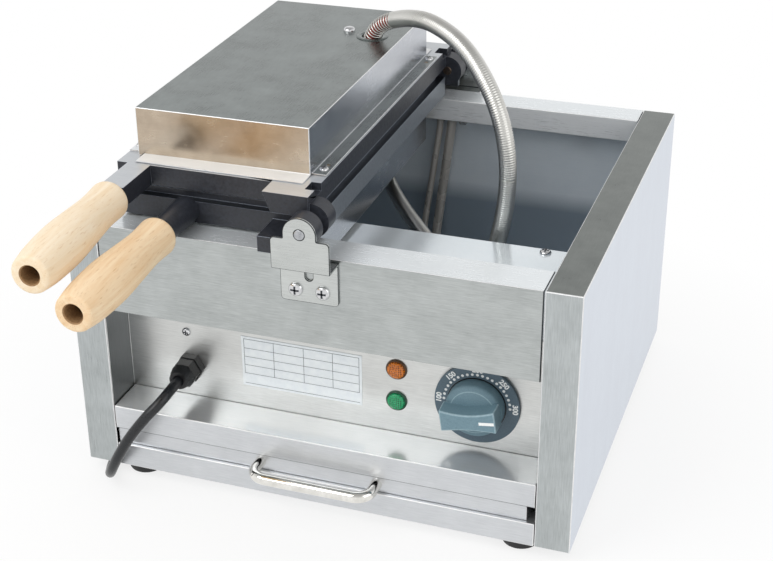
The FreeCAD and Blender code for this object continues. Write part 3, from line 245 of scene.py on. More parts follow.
def dressed(tree, shader, colour, gloss, height, bump, depth):
    """Give a shader its colour, its gloss and, where it has any, its relief of a depth in metres."""
    tree.links.new(colour, shader.inputs["Base Color"])
    tree.links.new(gloss, shader.inputs["Roughness"])
    if bump:
        relief = add(tree, "ShaderNodeBump", {"Strength": bump, "Distance": depth, "Height": height})
        tree.links.new(relief.outputs[0], shader.inputs["Normal"])


def brushed(name, dark, light, along, rough=(0.26, 0.36), bump=0.06, metallic=1.0, smudge=0.3, painted_shade=None):
    """Belt-brushed stainless sheet: fine parallel lines, broad bands and handling smudges.

    Real lines are about 0.2 mm wide. They are drawn 0.6 mm wide, because finer ones don't show.
    The painted shade is a shade colour, with the heights in millimetres between which it fades out upwards.
    """
    material, tree, shader, place = finish(name, {"Metallic": metallic})
    lines = noise(tree, drawn_out(tree, place, 0.6, 14.0, along), 1.0, 3.0, 0.6)
    bands = noise(tree, drawn_out(tree, place, 30.0, 600.0, along), 1.0, 2.0)
    # Smudges are about 25 mm across, with smaller marks inside them
    smudges = noise(tree, place, 1000.0 / 25.0, 5.0, 0.62)
    worn = mixed(tree, smudge, mixed(tree, 0.3, lines, bands), smudges)
    colour = between(tree, ranged(tree, worn, 0.28, 0.72), rgb(dark), rgb(light))
    # Painted shade: darker towards the bottom, fading out upwards between the two heights
    if painted_shade:
        shade, low, high = painted_shade
        parts = add(tree, "ShaderNodeSeparateXYZ", {0: place}).outputs
        share = ranged(tree, parts["Z"], low / 1000.0, high / 1000.0, 1.0, 0.0)
        colour = between(tree, share, colour, rgb(shade))
    dressed(tree, shader, colour, ranged(tree, worn, 0.3, 0.7, *rough), lines, bump, 0.0001)
    return material


def mottled(name, dark, light, grain, rough, bump=0.0, metallic=0.0):
    """A finish with soft changes of tone, gloss and relief at one grain size, given in millimetres."""
    material, tree, shader, place = finish(name, {"Metallic": metallic})
    cloud = noise(tree, place, 1000.0 / grain, 3.0, 0.55)
    colour = between(tree, ranged(tree, cloud, 0.3, 0.7), rgb(dark), rgb(light))
    dressed(tree, shader, colour, ranged(tree, cloud, 0.3, 0.7, *rough), cloud, bump, grain * 0.0002)
    return material


def beech(name, pale, warm, fleck):
    """Turned and sanded beech: pale lengthwise grain with short darker flecks about a millimetre wide."""
    material, tree, shader, place = finish(name, {"Specular IOR Level": 0.35})
    grain = noise(tree, drawn_out(tree, place, 4.5, 75.0, "y"), 1.0, 5.0, 0.6, 0.4)
    flecks = noise(tree, drawn_out(tree, place, 1.1, 9.0, "y"), 1.0, 2.0)
    wood = between(tree, ranged(tree, grain, 0.32, 0.68), rgb(warm), rgb(pale))
    colour = between(tree, ranged(tree, flecks, 0.6, 0.78, 0.0, 0.55), wood, rgb(fleck))
    dressed(tree, shader, colour, ranged(tree, grain, 0.0, 1.0, 0.42, 0.6), flecks, 0.12, 0.0002)
    return material


def faceted_lens(name, dark, light):
    """Clear tinted plastic with small facets moulded inside: bright cells, dark points 1.7 mm apart."""
    material, tree, shader, place = finish(name, {"Roughness": 0.16, "Coat Weight": 0.15})
    sockets = {"Vector": place, "Scale": 1000.0 / 1.7, "Randomness": 0.25}
    cells = add(tree, "ShaderNodeTexVoronoi", sockets).outputs["Distance"]
    colour = between(tree, ranged(tree, cells, 0.12, 0.55), rgb(dark), rgb(light))
    tree.links.new(colour, shader.inputs["Base Color"])
    return material


# Cabinet sheet seen from outside, and its folds, with lighter and darker copies of the sheet as painted
# light and painted shade
sheet_x = brushed("brushed_stainless_across", "#9a9e9d", "#cbcfce", "x")
sheet_y = brushed("brushed_stainless_lengthwise", "#aeb0b0", "#c6c8c8", "y")
sheet_z = brushed("brushed_stainless_upright", "#9ba0a0", "#ccd1d2", "z")
sheet_low = brushed("brushed_stainless_front_low", "#c0c3c6", "#dddfe2", "x", metallic=0.85)
# Painted shade: a darker copy of the sheet for the right side panel's top flange
flange_painted_shade = brushed("stainless_flange_painted_shade", "#6d716f", "#8b8f8c", "y", smudge=0.6)
# Painted light: a lighter copy of the sheet for the top flanges of the fascia and the back panel
flange_painted_light = brushed("stainless_top_flange_painted_light", "#dfe4e7", "#eef2f4", "x", (0.22, 0.3), 0.0, 0.5)
side_steel = brushed("satin_stainless_side", "#d0d6e0", "#e0e6ee", "z", (0.32, 0.42), 0.04)
panel_steel = brushed("brushed_stainless_panel", "#bcbdbb", "#e2e3e1", "x", (0.28, 0.4))
# Painted light: a lighter copy of the sheet for the up-facing faces of the shelf and the crumb tray,
# standing in for bright reflections
shelf_painted_light = brushed("polished_stainless_shelf_painted_light", "#dfe2e4", "#f1f3f4", "x", (0.14, 0.22), 0.0, 0.65)
# Painted light: a lighter copy of the sheet for the back panel's lip, standing in for its reflection
lip_painted_light = brushed("stainless_lip_painted_light", "#d3d6d8", "#e4e6e7", "x", (0.24, 0.34), 0.0, 0.25)
cheek_steel = brushed("shaded_stainless_cheek", "#787b7d", "#8f9294", "z", (0.25, 0.35), 0.05)
# Painted shade: a dark colour for rounded edges, standing in for the shadow lines along them
edge_painted_shade = mottled("stainless_edge_painted_shade", "#35383b", "#4b4e51", 3, (0.35, 0.45), metallic=0.8)
# Painted highlight: a bright colour on the rounded fold edges of the sheets and covers
fold_painted_highlight = mottled("stainless_fold_painted_highlight", "#e2e3e4", "#f2f2f2", 6, (0.3, 0.4), metallic=0.6)
bracket_steel = brushed("brushed_stainless_bracket", "#b7bab8", "#d5d8d6", "x", (0.24, 0.34))
# Inside of the bay: a mirror-like finish, lighter than the outside sheet as painted light, with painted
# shade darkening it towards the floor
bay_floor_painted_shade = ("#96a4b1", 118.0, 136.0)
bay_wall_painted_light = brushed("stainless_bay_wall_painted_light", "#dae3eb", "#e8eff4", "x", (0.1, 0.16),
                    0.02, 0.2, 0.5, bay_floor_painted_shade)
# The bay's side walls: a darker copy of the bay wall as painted shade
bay_side_painted_light = brushed("stainless_bay_side_painted_light", "#b3bcc6", "#c6ced6", "z", (0.1, 0.16),
                   0.02, 0.3, 0.5, bay_floor_painted_shade)
deck_steel = brushed("mill_finish_stainless_deck", "#e0e9ee", "#f0f5f8", "x", (0.14, 0.22), 0.0, 0.45)
# Covers: thin stainless, film polished, darkened on top by a painted dark reflection and tinted on the
# front
# Painted dark reflection: a darker copy of the sheet for the covers' tops, the flanges beside the hinge and
# the bushings
cover_painted_dark_reflection = brushed("stainless_cover_painted_dark_reflection", "#5f6463", "#999f9e", "y", (0.22, 0.36), 0.05, smudge=0.55)
cover_front = brushed("heat_tinted_stainless", "#a69785", "#cdbda9", "x", (0.2, 0.3), 0.03, smudge=0.75)
cover_side = brushed("thin_stainless_side", "#a9acb3", "#c8cbd1", "y", (0.2, 0.3), 0.03, smudge=0.55)
# Painted light: a lighter copy of the sheet for the covers' other flanges
cover_flange_painted_light = brushed("thin_stainless_flange_painted_light", "#e1e4e6", "#eef0f1", "x", (0.28, 0.38), 0.04, 0.2)
# Castings: non-stick coating over cast aluminium, with faces milled bare, a painted highlight on their
# rounded edges and a painted sheen on the lower one's side
coated = mottled("coated_cast_aluminium", "#22242a", "#31343c", 2.2, (0.34, 0.5), 0.3)
# Painted highlight: a lighter colour on the castings' rounded edges
casting_edge_painted_highlight = mottled("coating_edge_painted_highlight", "#6d747f", "#8d949f", 3, (0.32, 0.45), metallic=0.5)
# Painted sheen: a lighter copy of the coating for the lower casting's right side
casting_side_painted_sheen = mottled("coated_casting_side_painted_sheen", "#70767d", "#8a9097", 2.2, (0.3, 0.42), 0.2, 0.4)
milled = brushed("milled_aluminium", "#b6babf", "#d2d5d8", "x", (0.28, 0.4), 0.1, 0.6)
rim_milled = brushed("milled_aluminium_rim", "#555961", "#858a93", "x", (0.3, 0.42), 0.1)
# Small metal parts and conduits
bright_screw = mottled("polished_plated_steel", "#c4c5c7", "#e3e3e4", 2, (0.1, 0.18), metallic=1.0)
# Painted shade: a dark colour for the crosses, standing in for the shade in screw recesses
recess_painted_shade = mottled("recess_painted_shade", "#33363b", "#45484e", 1, (0.5, 0.6), metallic=0.5)
plated = mottled("zinc_plated_steel", "#a4a6aa", "#c0c2c5", 4, (0.25, 0.38), metallic=1.0)
pin_steel = mottled("browned_steel_pin", "#5d5048", "#7c6c60", 2, (0.3, 0.42), metallic=1.0)
nickel = mottled("polished_nickel", "#dbd9d3", "#efede8", 8, (0.05, 0.11), metallic=1.0)
winding = mottled("wound_galvanised_strip", "#c8c7c2", "#d6d5d1", 30, (0.27, 0.31), metallic=1.0)
plain_tube = mottled("galvanised_tube", "#b9b4ad", "#c6c1ba", 40, (0.26, 0.3), metallic=0.35)
brass = mottled("turned_brass", "#b0904a", "#cdb06a", 3, (0.22, 0.35), metallic=1.0)
# Plastics, rubber and print
knob_plastic = mottled("moulded_blue_grey_plastic", "#64818d", "#728f9b", 1.1, (0.42, 0.52), 0.08)
# Painted highlight: a lighter colour for the knob's rounded edges and its rim ring
knob_painted_highlight = mottled("plastic_edge_painted_highlight", "#86a0aa", "#98b1ba", 2, (0.4, 0.5))
bezel_plastic = mottled("moulded_slate_plastic", "#4e616d", "#5a6d79", 1.1, (0.45, 0.55), 0.08)
black_plastic = mottled("moulded_black_nylon", "#101112", "#191a1c", 1.2, (0.26, 0.36), 0.06)
lead_rubber = mottled("black_pvc_sheath", "#101215", "#1a1d21", 1.5, (0.26, 0.34), 0.05)
foot_rubber = mottled("black_moulded_rubber", "#141415", "#1f2021", 1.4, (0.55, 0.7), 0.12)
white_print = mottled("white_print", "#e9eceb", "#f6f7f6", 1.0, (0.45, 0.55))
grey_print = mottled("grey_ruled_print", "#565b63", "#6b7079", 1.0, (0.5, 0.6))
plate_foil = mottled("satin_plate_foil", "#e6ecf0", "#f1f6f8", 5, (0.3, 0.4), metallic=0.3)
amber = faceted_lens("amber_lens_plastic", "#602a02", "#dd7a18")
amber_ring = mottled("dark_lens_ring", "#4a2f14", "#5d4020", 1.5, (0.3, 0.4))
green = faceted_lens("green_lens_plastic", "#03402a", "#12a467")
green_ring = mottled("dark_green_lens_ring", "#123d2b", "#1b5138", 1.5, (0.3, 0.4))
red_wire = mottled("red_silicone_wire", "#b03428", "#cf4a38", 2, (0.4, 0.5))
# Handles
pale_beech = beech("turned_beech_pale", "#f3e3ca", "#ebd3b0", "#cfa678")
warm_beech = beech("turned_beech_warm", "#f1dab8", "#e5c297", "#bf9160")
# Painted shade: a darker wood for the inside of the handles' bore
bore_painted_shade_wood = mottled("beech_bore_painted_shade", "#8a6844", "#a9855c", 1.5, (0.6, 0.75), 0.2)
# Hidden pieces
heater_steel = mottled("heater_sheath", "#5f605c", "#7b7a74", 3, (0.35, 0.5), metallic=1.0)
wool = mottled("mineral_wool", "#b9ae95", "#d8d0bb", 2.5, (0.85, 0.95), 0.6)
white_plastic = mottled("moulded_white_plastic", "#dfdfdb", "#ecece9", 1.2, (0.35, 0.45), 0.05)
grey_plastic = mottled("moulded_grey_plastic", "#8f9396", "#a2a6a9", 1.2, (0.4, 0.5), 0.05)


# Making pieces
def fitted(obj, body, replaced=None):
    """Put a finished object on its body, in place of a solid where one is named."""
    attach(obj, body)
    if replaced:
        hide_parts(replaced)
    return obj


def piece(name, mesh, body, materials, replaced=None):
    """Link a finished mesh as a piece of the object."""
    for material in materials:
        mesh.materials.append(material)
    return fitted(linked(name, mesh), body, replaced)


def evaluated_mesh(obj):
    """The mesh an object has after its modifiers, which are then removed."""
    graph = bpy.context.evaluated_depsgraph_get()
    mesh = bpy.data.meshes.new_from_object(obj.evaluated_get(graph))
    obj.modifiers.clear()
    return mesh


def mesh_from(work, name):
    """A mesh from a finished working shape."""
    bmesh.ops.recalc_face_normals(work, faces=work.faces)
    mesh = bpy.data.meshes.new(name)
    work.to_mesh(mesh)
    work.free()
    return mesh


def bar(work, sizes, place):
    """Add a square bar to a working shape, in metres."""
    made = bmesh.ops.create_cube(work, size=1.0)
    bmesh.ops.scale(work, verts=made["verts"], vec=sizes)
    bmesh.ops.translate(work, verts=made["verts"], vec=place)


def rounded(obj, width, segments, method, **settings):
    """Round an object's edges, with a width in millimetres."""
    bevel = obj.modifiers.new("rounded edges", "BEVEL")
    bevel.width = width / 1000.0
    bevel.segments = segments
    bevel.limit_method = method
    bevel.harden_normals = True
    for key, value in settings.items():
        setattr(bevel, key, value)
    obj.data = evaluated_mesh(obj)


def sheet_tip(line):
    """Whether an edge runs through the thickness of a sheet that faces the front, at an outer corner."""
    along = line.verts[1].co - line.verts[0].co
    through = abs(along.y) > 0.99 * along.length and 0.001 < along.length < 0.0025
    return through and line.is_convex and line.calc_face_angle(0.0) > math.radians(80)


def softened(node, width, materials, edge=None, rule=None, segments=2, limit=28.0, shortest=0.0,
             painted_shade_where=None, corner=0.0):
    """A copy of a solid with its loose triangles merged and its edges rounded, in place of the solid.

    The rule gives each face its material, and the edge material goes on the rounded edges as a painted
    highlight or a painted shade. Edges under the shortest length, in millimetres, stay sharp. Where the
    painted shade rule holds, the rounded edges get a dark painted shade. A corner radius rounds the tips of
    a sheet that faces the front.
    """
    source = frame["nodes"][node]
    work = bmesh.new()
    work.from_mesh(source.data)
    bmesh.ops.remove_doubles(work, verts=work.verts, dist=1e-5)
    bmesh.ops.dissolve_limit(work, angle_limit=math.radians(0.6), verts=work.verts, edges=work.edges)
    if corner:
        tips = [line for line in work.edges if sheet_tip(line)]
        bmesh.ops.bevel(work, geom=tips, offset=corner / 1000.0, offset_type="OFFSET", segments=5,
                        profile=0.5, affect="EDGES", clamp_overlap=True)
    weight = work.edges.layers.float.new("bevel_weight_edge")
    for line in work.edges:
        folded = len(line.link_faces) == 2 and line.calc_face_angle(0.0) > math.radians(limit)
        line[weight] = 1.0 if folded and line.calc_length() * 1000 >= shortest else 0.0
    mesh = bpy.data.meshes.new(node + "_made")
    work.to_mesh(mesh)
    work.free()
    normals = mesh.attributes.get("custom_normal")
    if normals:
        mesh.attributes.remove(normals)
    for material in materials + ([edge] if edge else []):
        mesh.materials.append(material)
    for face in mesh.polygons:
        face.use_smooth = True
        face.material_index = rule(in_mm(face.center), face.normal) if rule else 0
    mesh.set_sharp_from_angle(angle=math.radians(limit))
    obj = linked(node + "_made", mesh)
    if width:
        rounded(obj, width, segments, "WEIGHT", use_clamp_overlap=not corner, miter_outer="MITER_ARC",
                material=len(materials) if edge else -1)
    # Painted shade: dark rounded edges where the rule holds
    if painted_shade_where:
        obj.data.materials.append(edge_painted_shade)
        for face in obj.data.polygons:
            if face.material_index == len(materials) and painted_shade_where(in_mm(face.center)):
                face.material_index = len(materials) + 1
    return fitted(obj, source["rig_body"], node)


def smooth_line(points, steps):
    """Points on a smooth line through the given ones."""
    line = []
    count = len(points)
    for index in range(count - 1):
        before = Vector(points[max(index - 1, 0)])
        start = Vector(points[index])
        end = Vector(points[index + 1])
        after = Vector(points[min(index + 2, count - 1)])
        for step in range(steps):
            t = step / steps
            square = (2 * before - 5 * start + 4 * end - after) * t * t
            cube = (3 * start - before - 3 * end + after) * t ** 3
            line.append(0.5 * (2 * start + (end - before) * t + square + cube))
    line.append(Vector(points[-1]))
    return line


def skin(work, rings, rule=None):
    """Join rings of points, or single points, with smooth faces. The rule gives each band its material."""
    for index, (one, two) in enumerate(zip(rings, rings[1:])):
        for step in range(max(len(one), len(two))):
            after = step + 1
            corners = [one[step % len(one)], one[after % len(one)],
                       two[after % len(two)], two[step % len(two)]]
            corners = list(dict.fromkeys(corners))
            face = work.faces.new(corners)
            face.smooth = True
            face.material_index = rule(index) if rule else 0


def turned_mesh(name, profile, place, rotation, around=64, rule=None):
    """A lathe-turned closed shape: radii and lengths in millimetres along the turned axis."""
    work = bmesh.new()
    rings = []
    for radius, along in profile:
        if radius < 1e-6:
            rings.append([work.verts.new((0.0, 0.0, along / 1000.0))])
            continue
        ring = []
        for step in range(around):
            angle = 2 * math.pi * step / around
            x, y = radius * math.cos(angle), radius * math.sin(angle)
            ring.append(work.verts.new((x / 1000.0, y / 1000.0, along / 1000.0)))
        rings.append(ring)
    skin(work, rings, rule)
    mesh = mesh_from(work, name)
    mesh.transform(Matrix.Translation(place) @ rotation.to_matrix().to_4x4())
    mesh.set_sharp_from_angle(angle=math.radians(35))
    return mesh


front, rear, up, down = (0, -1, 0), (0, 1, 0), (0, 0, 1), (0, 0, -1)
towards_front = Vector(front).to_track_quat("Z", "X")
upright = Quaternion()
upside_down = Quaternion((1, 0, 0), math.pi)
standing = Matrix(((1, 0, 0), (0, 0, -1), (0, 1, 0)))


# Mains lead: the route of the solid, then the coil behind the cabinet and the tail to the plug
def cord_curve(name, points, radius):
    """A smooth curve whose control points are the route's points."""
    curve = bpy.data.curves.new(name, "CURVE")
    curve.dimensions = "3D"
    spline = curve.splines.new("NURBS")
    spline.points.add(len(points) - 1)
    for point, place in zip(spline.points, points):
        point.co = (*place, 1.0)
    spline.order_u = 3
    spline.use_endpoint_u = True
    spline.resolution_u = 10
    curve.resolution_u = 10
    curve.bevel_depth = radius / 1000.0
    curve.bevel_resolution = 5
    curve.use_fill_caps = True
    return curve


lead_r, lead_length = 4.2, 1.36
lead_floor = -5.7
coil_x, coil_y, coil_mid = -141.0, 417.0, 47.0
gland_x, gland_z, gland_tip = -119.0, 82.5, 10.0


def mains_lead():
    back = coil_y + coil_mid
    left = coil_x - coil_mid
    route = [
        (gland_x, gland_tip + 11, gland_z), (gland_x, gland_tip - 7, gland_z),
        (gland_x - 0.5, -9.0, gland_z - 1.7), (gland_x - 4.5, -18.5, gland_z - 7),
        (gland_x - 12.5, -25.0, gland_z - 15.7), (-144.0, -30.0, 49.5), (-151.8, -31.3, 36.0),
        (-158.2, -30.8, 24.5), (-164.4, -27.5, 13.0), (-170.7, -20.0, 3.6), (-177.0, -8.7, -3.2),
        (-182.8, 5.0, lead_floor), (-186.2, 22.0, lead_floor), (-187.5, 48.0, lead_floor),
        (-186.5, 110.0, lead_floor), (-188.5, 190.0, lead_floor), (-187.0, 270.0, lead_floor),
        (left - 1.0, 335.0, lead_floor), (left, 385.0, lead_floor),
    ]
    # Each turn climbs onto the one below in its last third
    coil_turns, steps_per_turn, climb_share = 2.25, 16, 0.3
    wide = coil_mid * 1.006
    for step in range(int(coil_turns * steps_per_turn) + 1):
        turns = step / steps_per_turn
        angle = math.pi - 2 * math.pi * turns
        climb = min(max((turns % 1.0 - (1 - climb_share)) / climb_share, 0.0), 1.0)
        level = lead_floor + 2 * lead_r * (int(turns) + climb * climb * (3 - 2 * climb))
        route.append((coil_x + wide * math.cos(angle), coil_y + wide * math.sin(angle), level))
    crown = 11.0
    plug_x, plug_y, plug_z = coil_x + 118.0, back - 14.0, lead_floor + 5.6
    route += [
        (coil_x + 22, back, crown - 0.5), (coil_x + 50, back - 3.0, crown - 7),
        (coil_x + 78, back - 9.0, crown - 14), (coil_x + 98, plug_y + 1.0, plug_z + 0.4),
        (plug_x, plug_y, plug_z), (plug_x + 8, plug_y, plug_z),
    ]
    curve = cord_curve("mains_lead", [mm(*point) for point in route], lead_r)
    curve.materials.append(lead_rubber)
    lead = linked("mains_lead", curve)
    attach(lead, "cabinet")
    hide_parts("power_cord", "cord_coil")
    plug = softened("plug_body", 2.4, [black_plastic], segments=4)
    pins = softened("plug_pins", 0.5, [brass])
    tie = softened("cord_tie", 0.5, [black_plastic])


mains_lead()


# Flexible conduits of wound steel strip
def route_points(points):
    """Points along the smooth line of a route, read from its own curve without a bevel."""
    curve = cord_curve("route", points, 0.0)
    curve.use_fill_caps = False
    holder = linked("route", curve)
    mesh = evaluated_mesh(holder)
    line = [vertex.co.copy() for vertex in mesh.vertices]
    bpy.data.objects.remove(holder)
    bpy.data.meshes.remove(mesh)
    bpy.data.curves.remove(curve)
    return line


def even_points(line, gap):
    """The same line with points at even distances."""
    lengths = [0.0]
    for one, two in zip(line, line[1:]):
        lengths.append(lengths[-1] + (two - one).length)
    count = max(2, round(lengths[-1] / gap))
    result = []
    index = 0
    for step in range(count + 1):
        target = lengths[-1] * step / count
        while index < len(line) - 2 and lengths[index + 1] < target:
            index += 1
        span = max(lengths[index + 1] - lengths[index], 1e-9)
        result.append(line[index].lerp(line[index + 1], (target - lengths[index]) / span))
    return result


def frames_along(line):
    """Two steady side directions at each point of a line."""
    side = None
    frames = []
    for index in range(len(line)):
        ahead = (line[min(index + 1, len(line) - 1)] - line[max(index - 1, 0)]).normalized()
        if side is None:
            side = ahead.orthogonal().normalized()
        side = (side - ahead * side.dot(ahead)).normalized()
        frames.append((side, ahead.cross(side)))
    return frames


def swept(work, line, radius_at, around, index=0):
    """Sweep a closed tube along a line, with a radius in metres for each point and angle."""
    rings = []
    for number, (centre, (one, two)) in enumerate(zip(line, frames_along(line))):
        ring = []
        for step in range(around):
            angle = 2 * math.pi * step / around
            radius = radius_at(number, angle)
            ring.append(work.verts.new(centre + (one * math.cos(angle) + two * math.sin(angle)) * radius))
        rings.append(ring)
    skin(work, rings, lambda band: index)
    for ring, order in ((rings[0], -1), (rings[-1], 1)):
        work.faces.new(ring[::order]).material_index = index


def wound_strip(work, line, radius):
    """Strip wound to a hose: one flat helical band per turn with a groove between turns, in millimetres."""
    pitch, groove = 1.9, 0.26
    ring_gap, around = 0.32, 22
    points = even_points(line, ring_gap / 1000)
    step = (points[1] - points[0]).length

    def radius_at(number, angle):
        phase = 2 * math.pi * number * step / (pitch / 1000) - angle
        ridge = 0.5 + 0.5 * math.cos(phase)
        return (radius - groove * (1 - ridge ** 0.35)) / 1000.0

    swept(work, points, radius_at, around)


def helix_line(line, radius, pitch):
    """A wire line that winds round another line."""
    points = even_points(line, pitch / 1000 / 14)
    step = (points[1] - points[0]).length
    wire = []
    for number, (centre, (one, two)) in enumerate(zip(points, frames_along(points))):
        angle = 2 * math.pi * number * step / (pitch / 1000)
        wire.append(centre + (one * math.cos(angle) + two * math.sin(angle)) * radius / 1000)
    return wire


def conduit(name, work, materials, node, replaced=True):
    """A length of conduit as one fixed mesh, hiding the solid it replaces where it replaces one."""
    obj = linked(name, mesh_from(work, name))
    for material in materials:
        obj.data.materials.append(material)
    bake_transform(obj)
    if replaced:
        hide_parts(node)


upper_crown = box_mm("upper_cover")[1][2]
lower_under = box_mm("lower_cover")[0][2]
upper_r, lower_r = 7.0, 6.0


def upper_conduit():
    """From the upper cover over to the compartment, in two lengths."""
    crown = upper_crown
    route = [
        (-41.5, 249.6, crown - 6), (-36.0, 246.0, crown + 6), (-24.0, 238.3, crown + 16.5),
        (-8.0, 228.0, crown + 24.2), (7.5, 218.0, crown + 29), (22.0, 208.6, crown + 31),
        (36.5, 199.3, crown + 29.2), (51.0, 190.0, crown + 25), (65.5, 180.6, crown + 16.5),
        (79.0, 172.0, crown + 3), (90.5, 164.5, crown - 13), (99.0, 159.0, crown - 32),
        (104.0, 155.8, crown - 54), (105.0, 155.2, crown - 76), (102.5, 156.8, crown - 102),
        (96.0, 161.0, crown - 132), (88.5, 165.8, crown - 160), (85.0, 168.0, 117.0), (85.0, 168.0, 95.1),
    ]
    line = even_points(route_points([mm(*point) for point in route]), 0.001)
    # The two lengths meet just under the level of the opened plate, so that neither stands above it
    apex = max(range(len(line)), key=lambda number: line[number].z)
    meeting_height = mm(0, 0, 226.0).z
    meeting = next(number for number in range(apex, len(line)) if line[number].z < meeting_height)
    near = line[:meeting + 1]
    far = line[meeting:][::-1]

    # Near the cover the winding is pulled open over the red wires, for this many millimetres
    opened = 44
    strip_r, wires_r = 0.8, 4.2
    work = bmesh.new()
    wound_strip(work, near[opened:], upper_r)
    strip = helix_line(near[:opened + 3], radius=6.2, pitch=3.6)
    swept(work, strip, lambda number, angle: strip_r / 1000, 8)
    swept(work, near[:opened + 4], lambda number, angle: wires_r / 1000, 14, index=1)
    conduit("upper_conduit_top", work, [winding, red_wire],
            "upper_conduit")

    work = bmesh.new()
    wound_strip(work, far[::-1], upper_r)
    conduit("upper_conduit_drop", work, [winding],
            "upper_conduit", replaced=False)


def lower_conduit():
    """From under the lower cover to the compartment's wall."""
    under = lower_under
    route = [
        (-39.5, 270.0, under + 5), (-34.5, 263.0, under - 7), (-24.0, 248.5, under - 16),
        (-10.0, 230.0, under - 21), (7.0, 208.0, under - 24), (28.0, 181.0, under - 25.5),
        (43.5, 161.0, 154.0), (43.5, 141.6, 154.0),
    ]
    line = even_points(route_points([mm(*point) for point in route]), 0.001)
    work = bmesh.new()
    wound_strip(work, line, lower_r)
    conduit("lower_conduit_run", work, [winding],
            "lower_conduit")


def bushing(name, place, rotation, body):
    """Pressed steel bushing in the cover's hole, round the conduit."""
    profile = [(8.7, -1.0), (11.2, -1.0), (11.2, 0.0), (13.2, 0.0), (13.2, 0.5), (12.6, 0.9), (9.6, 0.9),
               (8.7, 0.3), (8.7, -1.0)]
    mesh = turned_mesh(name, profile, place, rotation, 56)
    # The bushing takes the covers' painted dark reflection
    piece(name, mesh, body, [cover_painted_dark_reflection])


upper_conduit()
lower_conduit()
bushing("upper_conduit_bushing", mm(-38.6, 247.8, upper_crown), upright, "upper_half")
bushing("lower_conduit_bushing", mm(-37.5, 267.3, lower_under), upside_down, "lower_half")

# Cabinet sheets, with the places and the least slant that tell one sheet's faces apart
facing = 0.7
side_wall, flange_level = 190.0, 200.0
back_sheets, back_wall, fascia_inside = 300.0, 350.0, 20.0


# Faces that look into the bay, the top flanges and the back lip get lighter and darker copies of the sheet
# as painted light and painted shade
def outside(place, normal):
    """Outside faces, faces that look into the bay, top flanges, the tall outer sides, and the back lip."""
    x, y, z = place
    if abs(normal.x) > facing and abs(x) > side_wall:
        return 1 if normal.x * x < 0 else 3
    if normal.z > facing and z > flange_level:
        return 2
    if normal.y < -facing and y > back_sheets:
        return 1 if y > back_wall else 4
    if normal.y > facing and 0 < y < fascia_inside:
        return 1
    return 0


def faces_up(place, normal):
    return 1 if normal.z > facing else 0


def faces_sideways(place, normal):
    return 1 if abs(normal.x) > facing else 0


fascia_low, fascia_high = box_mm("front_fascia")
fascia_end = fascia_high[0] - 2.0
fascia_foot = fascia_low[2] + 1.2
shelf_foot = box_mm("shelf")[0][2] + 1.2
softened("left_side_panel", 0.9, [sheet_z, bay_side_painted_light, sheet_y, side_steel], fold_painted_highlight, outside, shortest=8)
softened("right_side_panel", 0.9, [sheet_z, bay_side_painted_light, flange_painted_shade, side_steel], fold_painted_highlight, outside,
         shortest=8)
# The fascia's ends and foot get painted shade on their rounded edges
softened("front_fascia", 0.9, [sheet_x, bay_wall_painted_light, flange_painted_light, sheet_x], fold_painted_highlight, outside, shortest=8,
         painted_shade_where=lambda place: abs(place[0]) > fascia_end or place[2] < fascia_foot)
softened("back_panel", 0.7, [sheet_x, bay_wall_painted_light, flange_painted_light, sheet_x, lip_painted_light], fold_painted_highlight, outside,
         shortest=8)
softened("control_panel", 0.6, [panel_steel, cheek_steel], rule=faces_sideways, shortest=8)
# The shelf's foot gets painted shade on its rounded edges
softened("shelf", 0.8, [sheet_low, shelf_painted_light], fold_painted_highlight, faces_up, shortest=8,
         painted_shade_where=lambda place: place[2] < shelf_foot)
softened("base_pan", 0.8, [sheet_low], fold_painted_highlight, shortest=8)
softened("compartment_cover", 0.8, [deck_steel], shortest=8)
softened("crumb_tray", 0.25, [sheet_low, shelf_painted_light], fold_painted_highlight, faces_up, shortest=8)
# The brackets' rounded edges get a dark painted shade
for bracket in ("front_hinge_bracket", "rear_hinge_bracket"):
    softened(bracket, 0.55, [bracket_steel], edge_painted_shade, corner=3.2)
for node, width, material, segments, limit in (
        ("front_hinge_pin", 0.8, plated, 3, 28), ("rear_hinge_pin", 0.8, pin_steel, 3, 28),
        ("rubber_feet", 1.5, foot_rubber, 3, 28), ("rating_plate", 0.0, plate_foil, 2, 28),
        ("tray_handle", 0.0, nickel, 2, 45), ("cable_gland", 0.7, black_plastic, 2, 28),
        ("gland_nut", 0.9, black_plastic, 3, 28), ("rear_tubes", 0.0, plain_tube, 2, 45),
        ("conduit_connectors", 0.6, plated, 2, 28), ("bracket_nuts", 0.5, bright_screw, 2, 28)):
    softened(node, width, [material], segments=segments, limit=limit)

# Castings and covers, which lie above and below the hinge line
hinge_z = 240.0
squarely = 0.8
casting_top, upper_rim = hinge_z + 15, hinge_z + 4
arms_end, side_start, rim_side = 24.0, 40.0, -20.0
crown_reach, hinge_flange = 50.0, -14.0


def upper_faces(place, normal):
    """Milled top and milled rim of the upper casting."""
    if normal.z > squarely and place[2] > casting_top:
        return 1
    return 2 if normal.z < -squarely and place[2] < upper_rim else 0


def lower_faces(place, normal):
    """Side with a painted sheen, and milled rim of the lower casting, behind its arms."""
    if normal.x > squarely and place[1] > side_start:
        return 3
    return 2 if normal.z > squarely and place[1] > arms_end and place[0] < rim_side else 0


def cover_faces(place, normal):
    """Top, ends, sides, and the flanges except those beside the hinge. The top and the flanges beside the
    hinge take the painted dark reflection, the other flanges a lighter copy as painted light.
    """
    if abs(normal.z) > facing:
        return 0 if abs(place[2] - hinge_z) > crown_reach or place[0] > hinge_flange else 3
    return 1 if abs(normal.y) > facing else 2


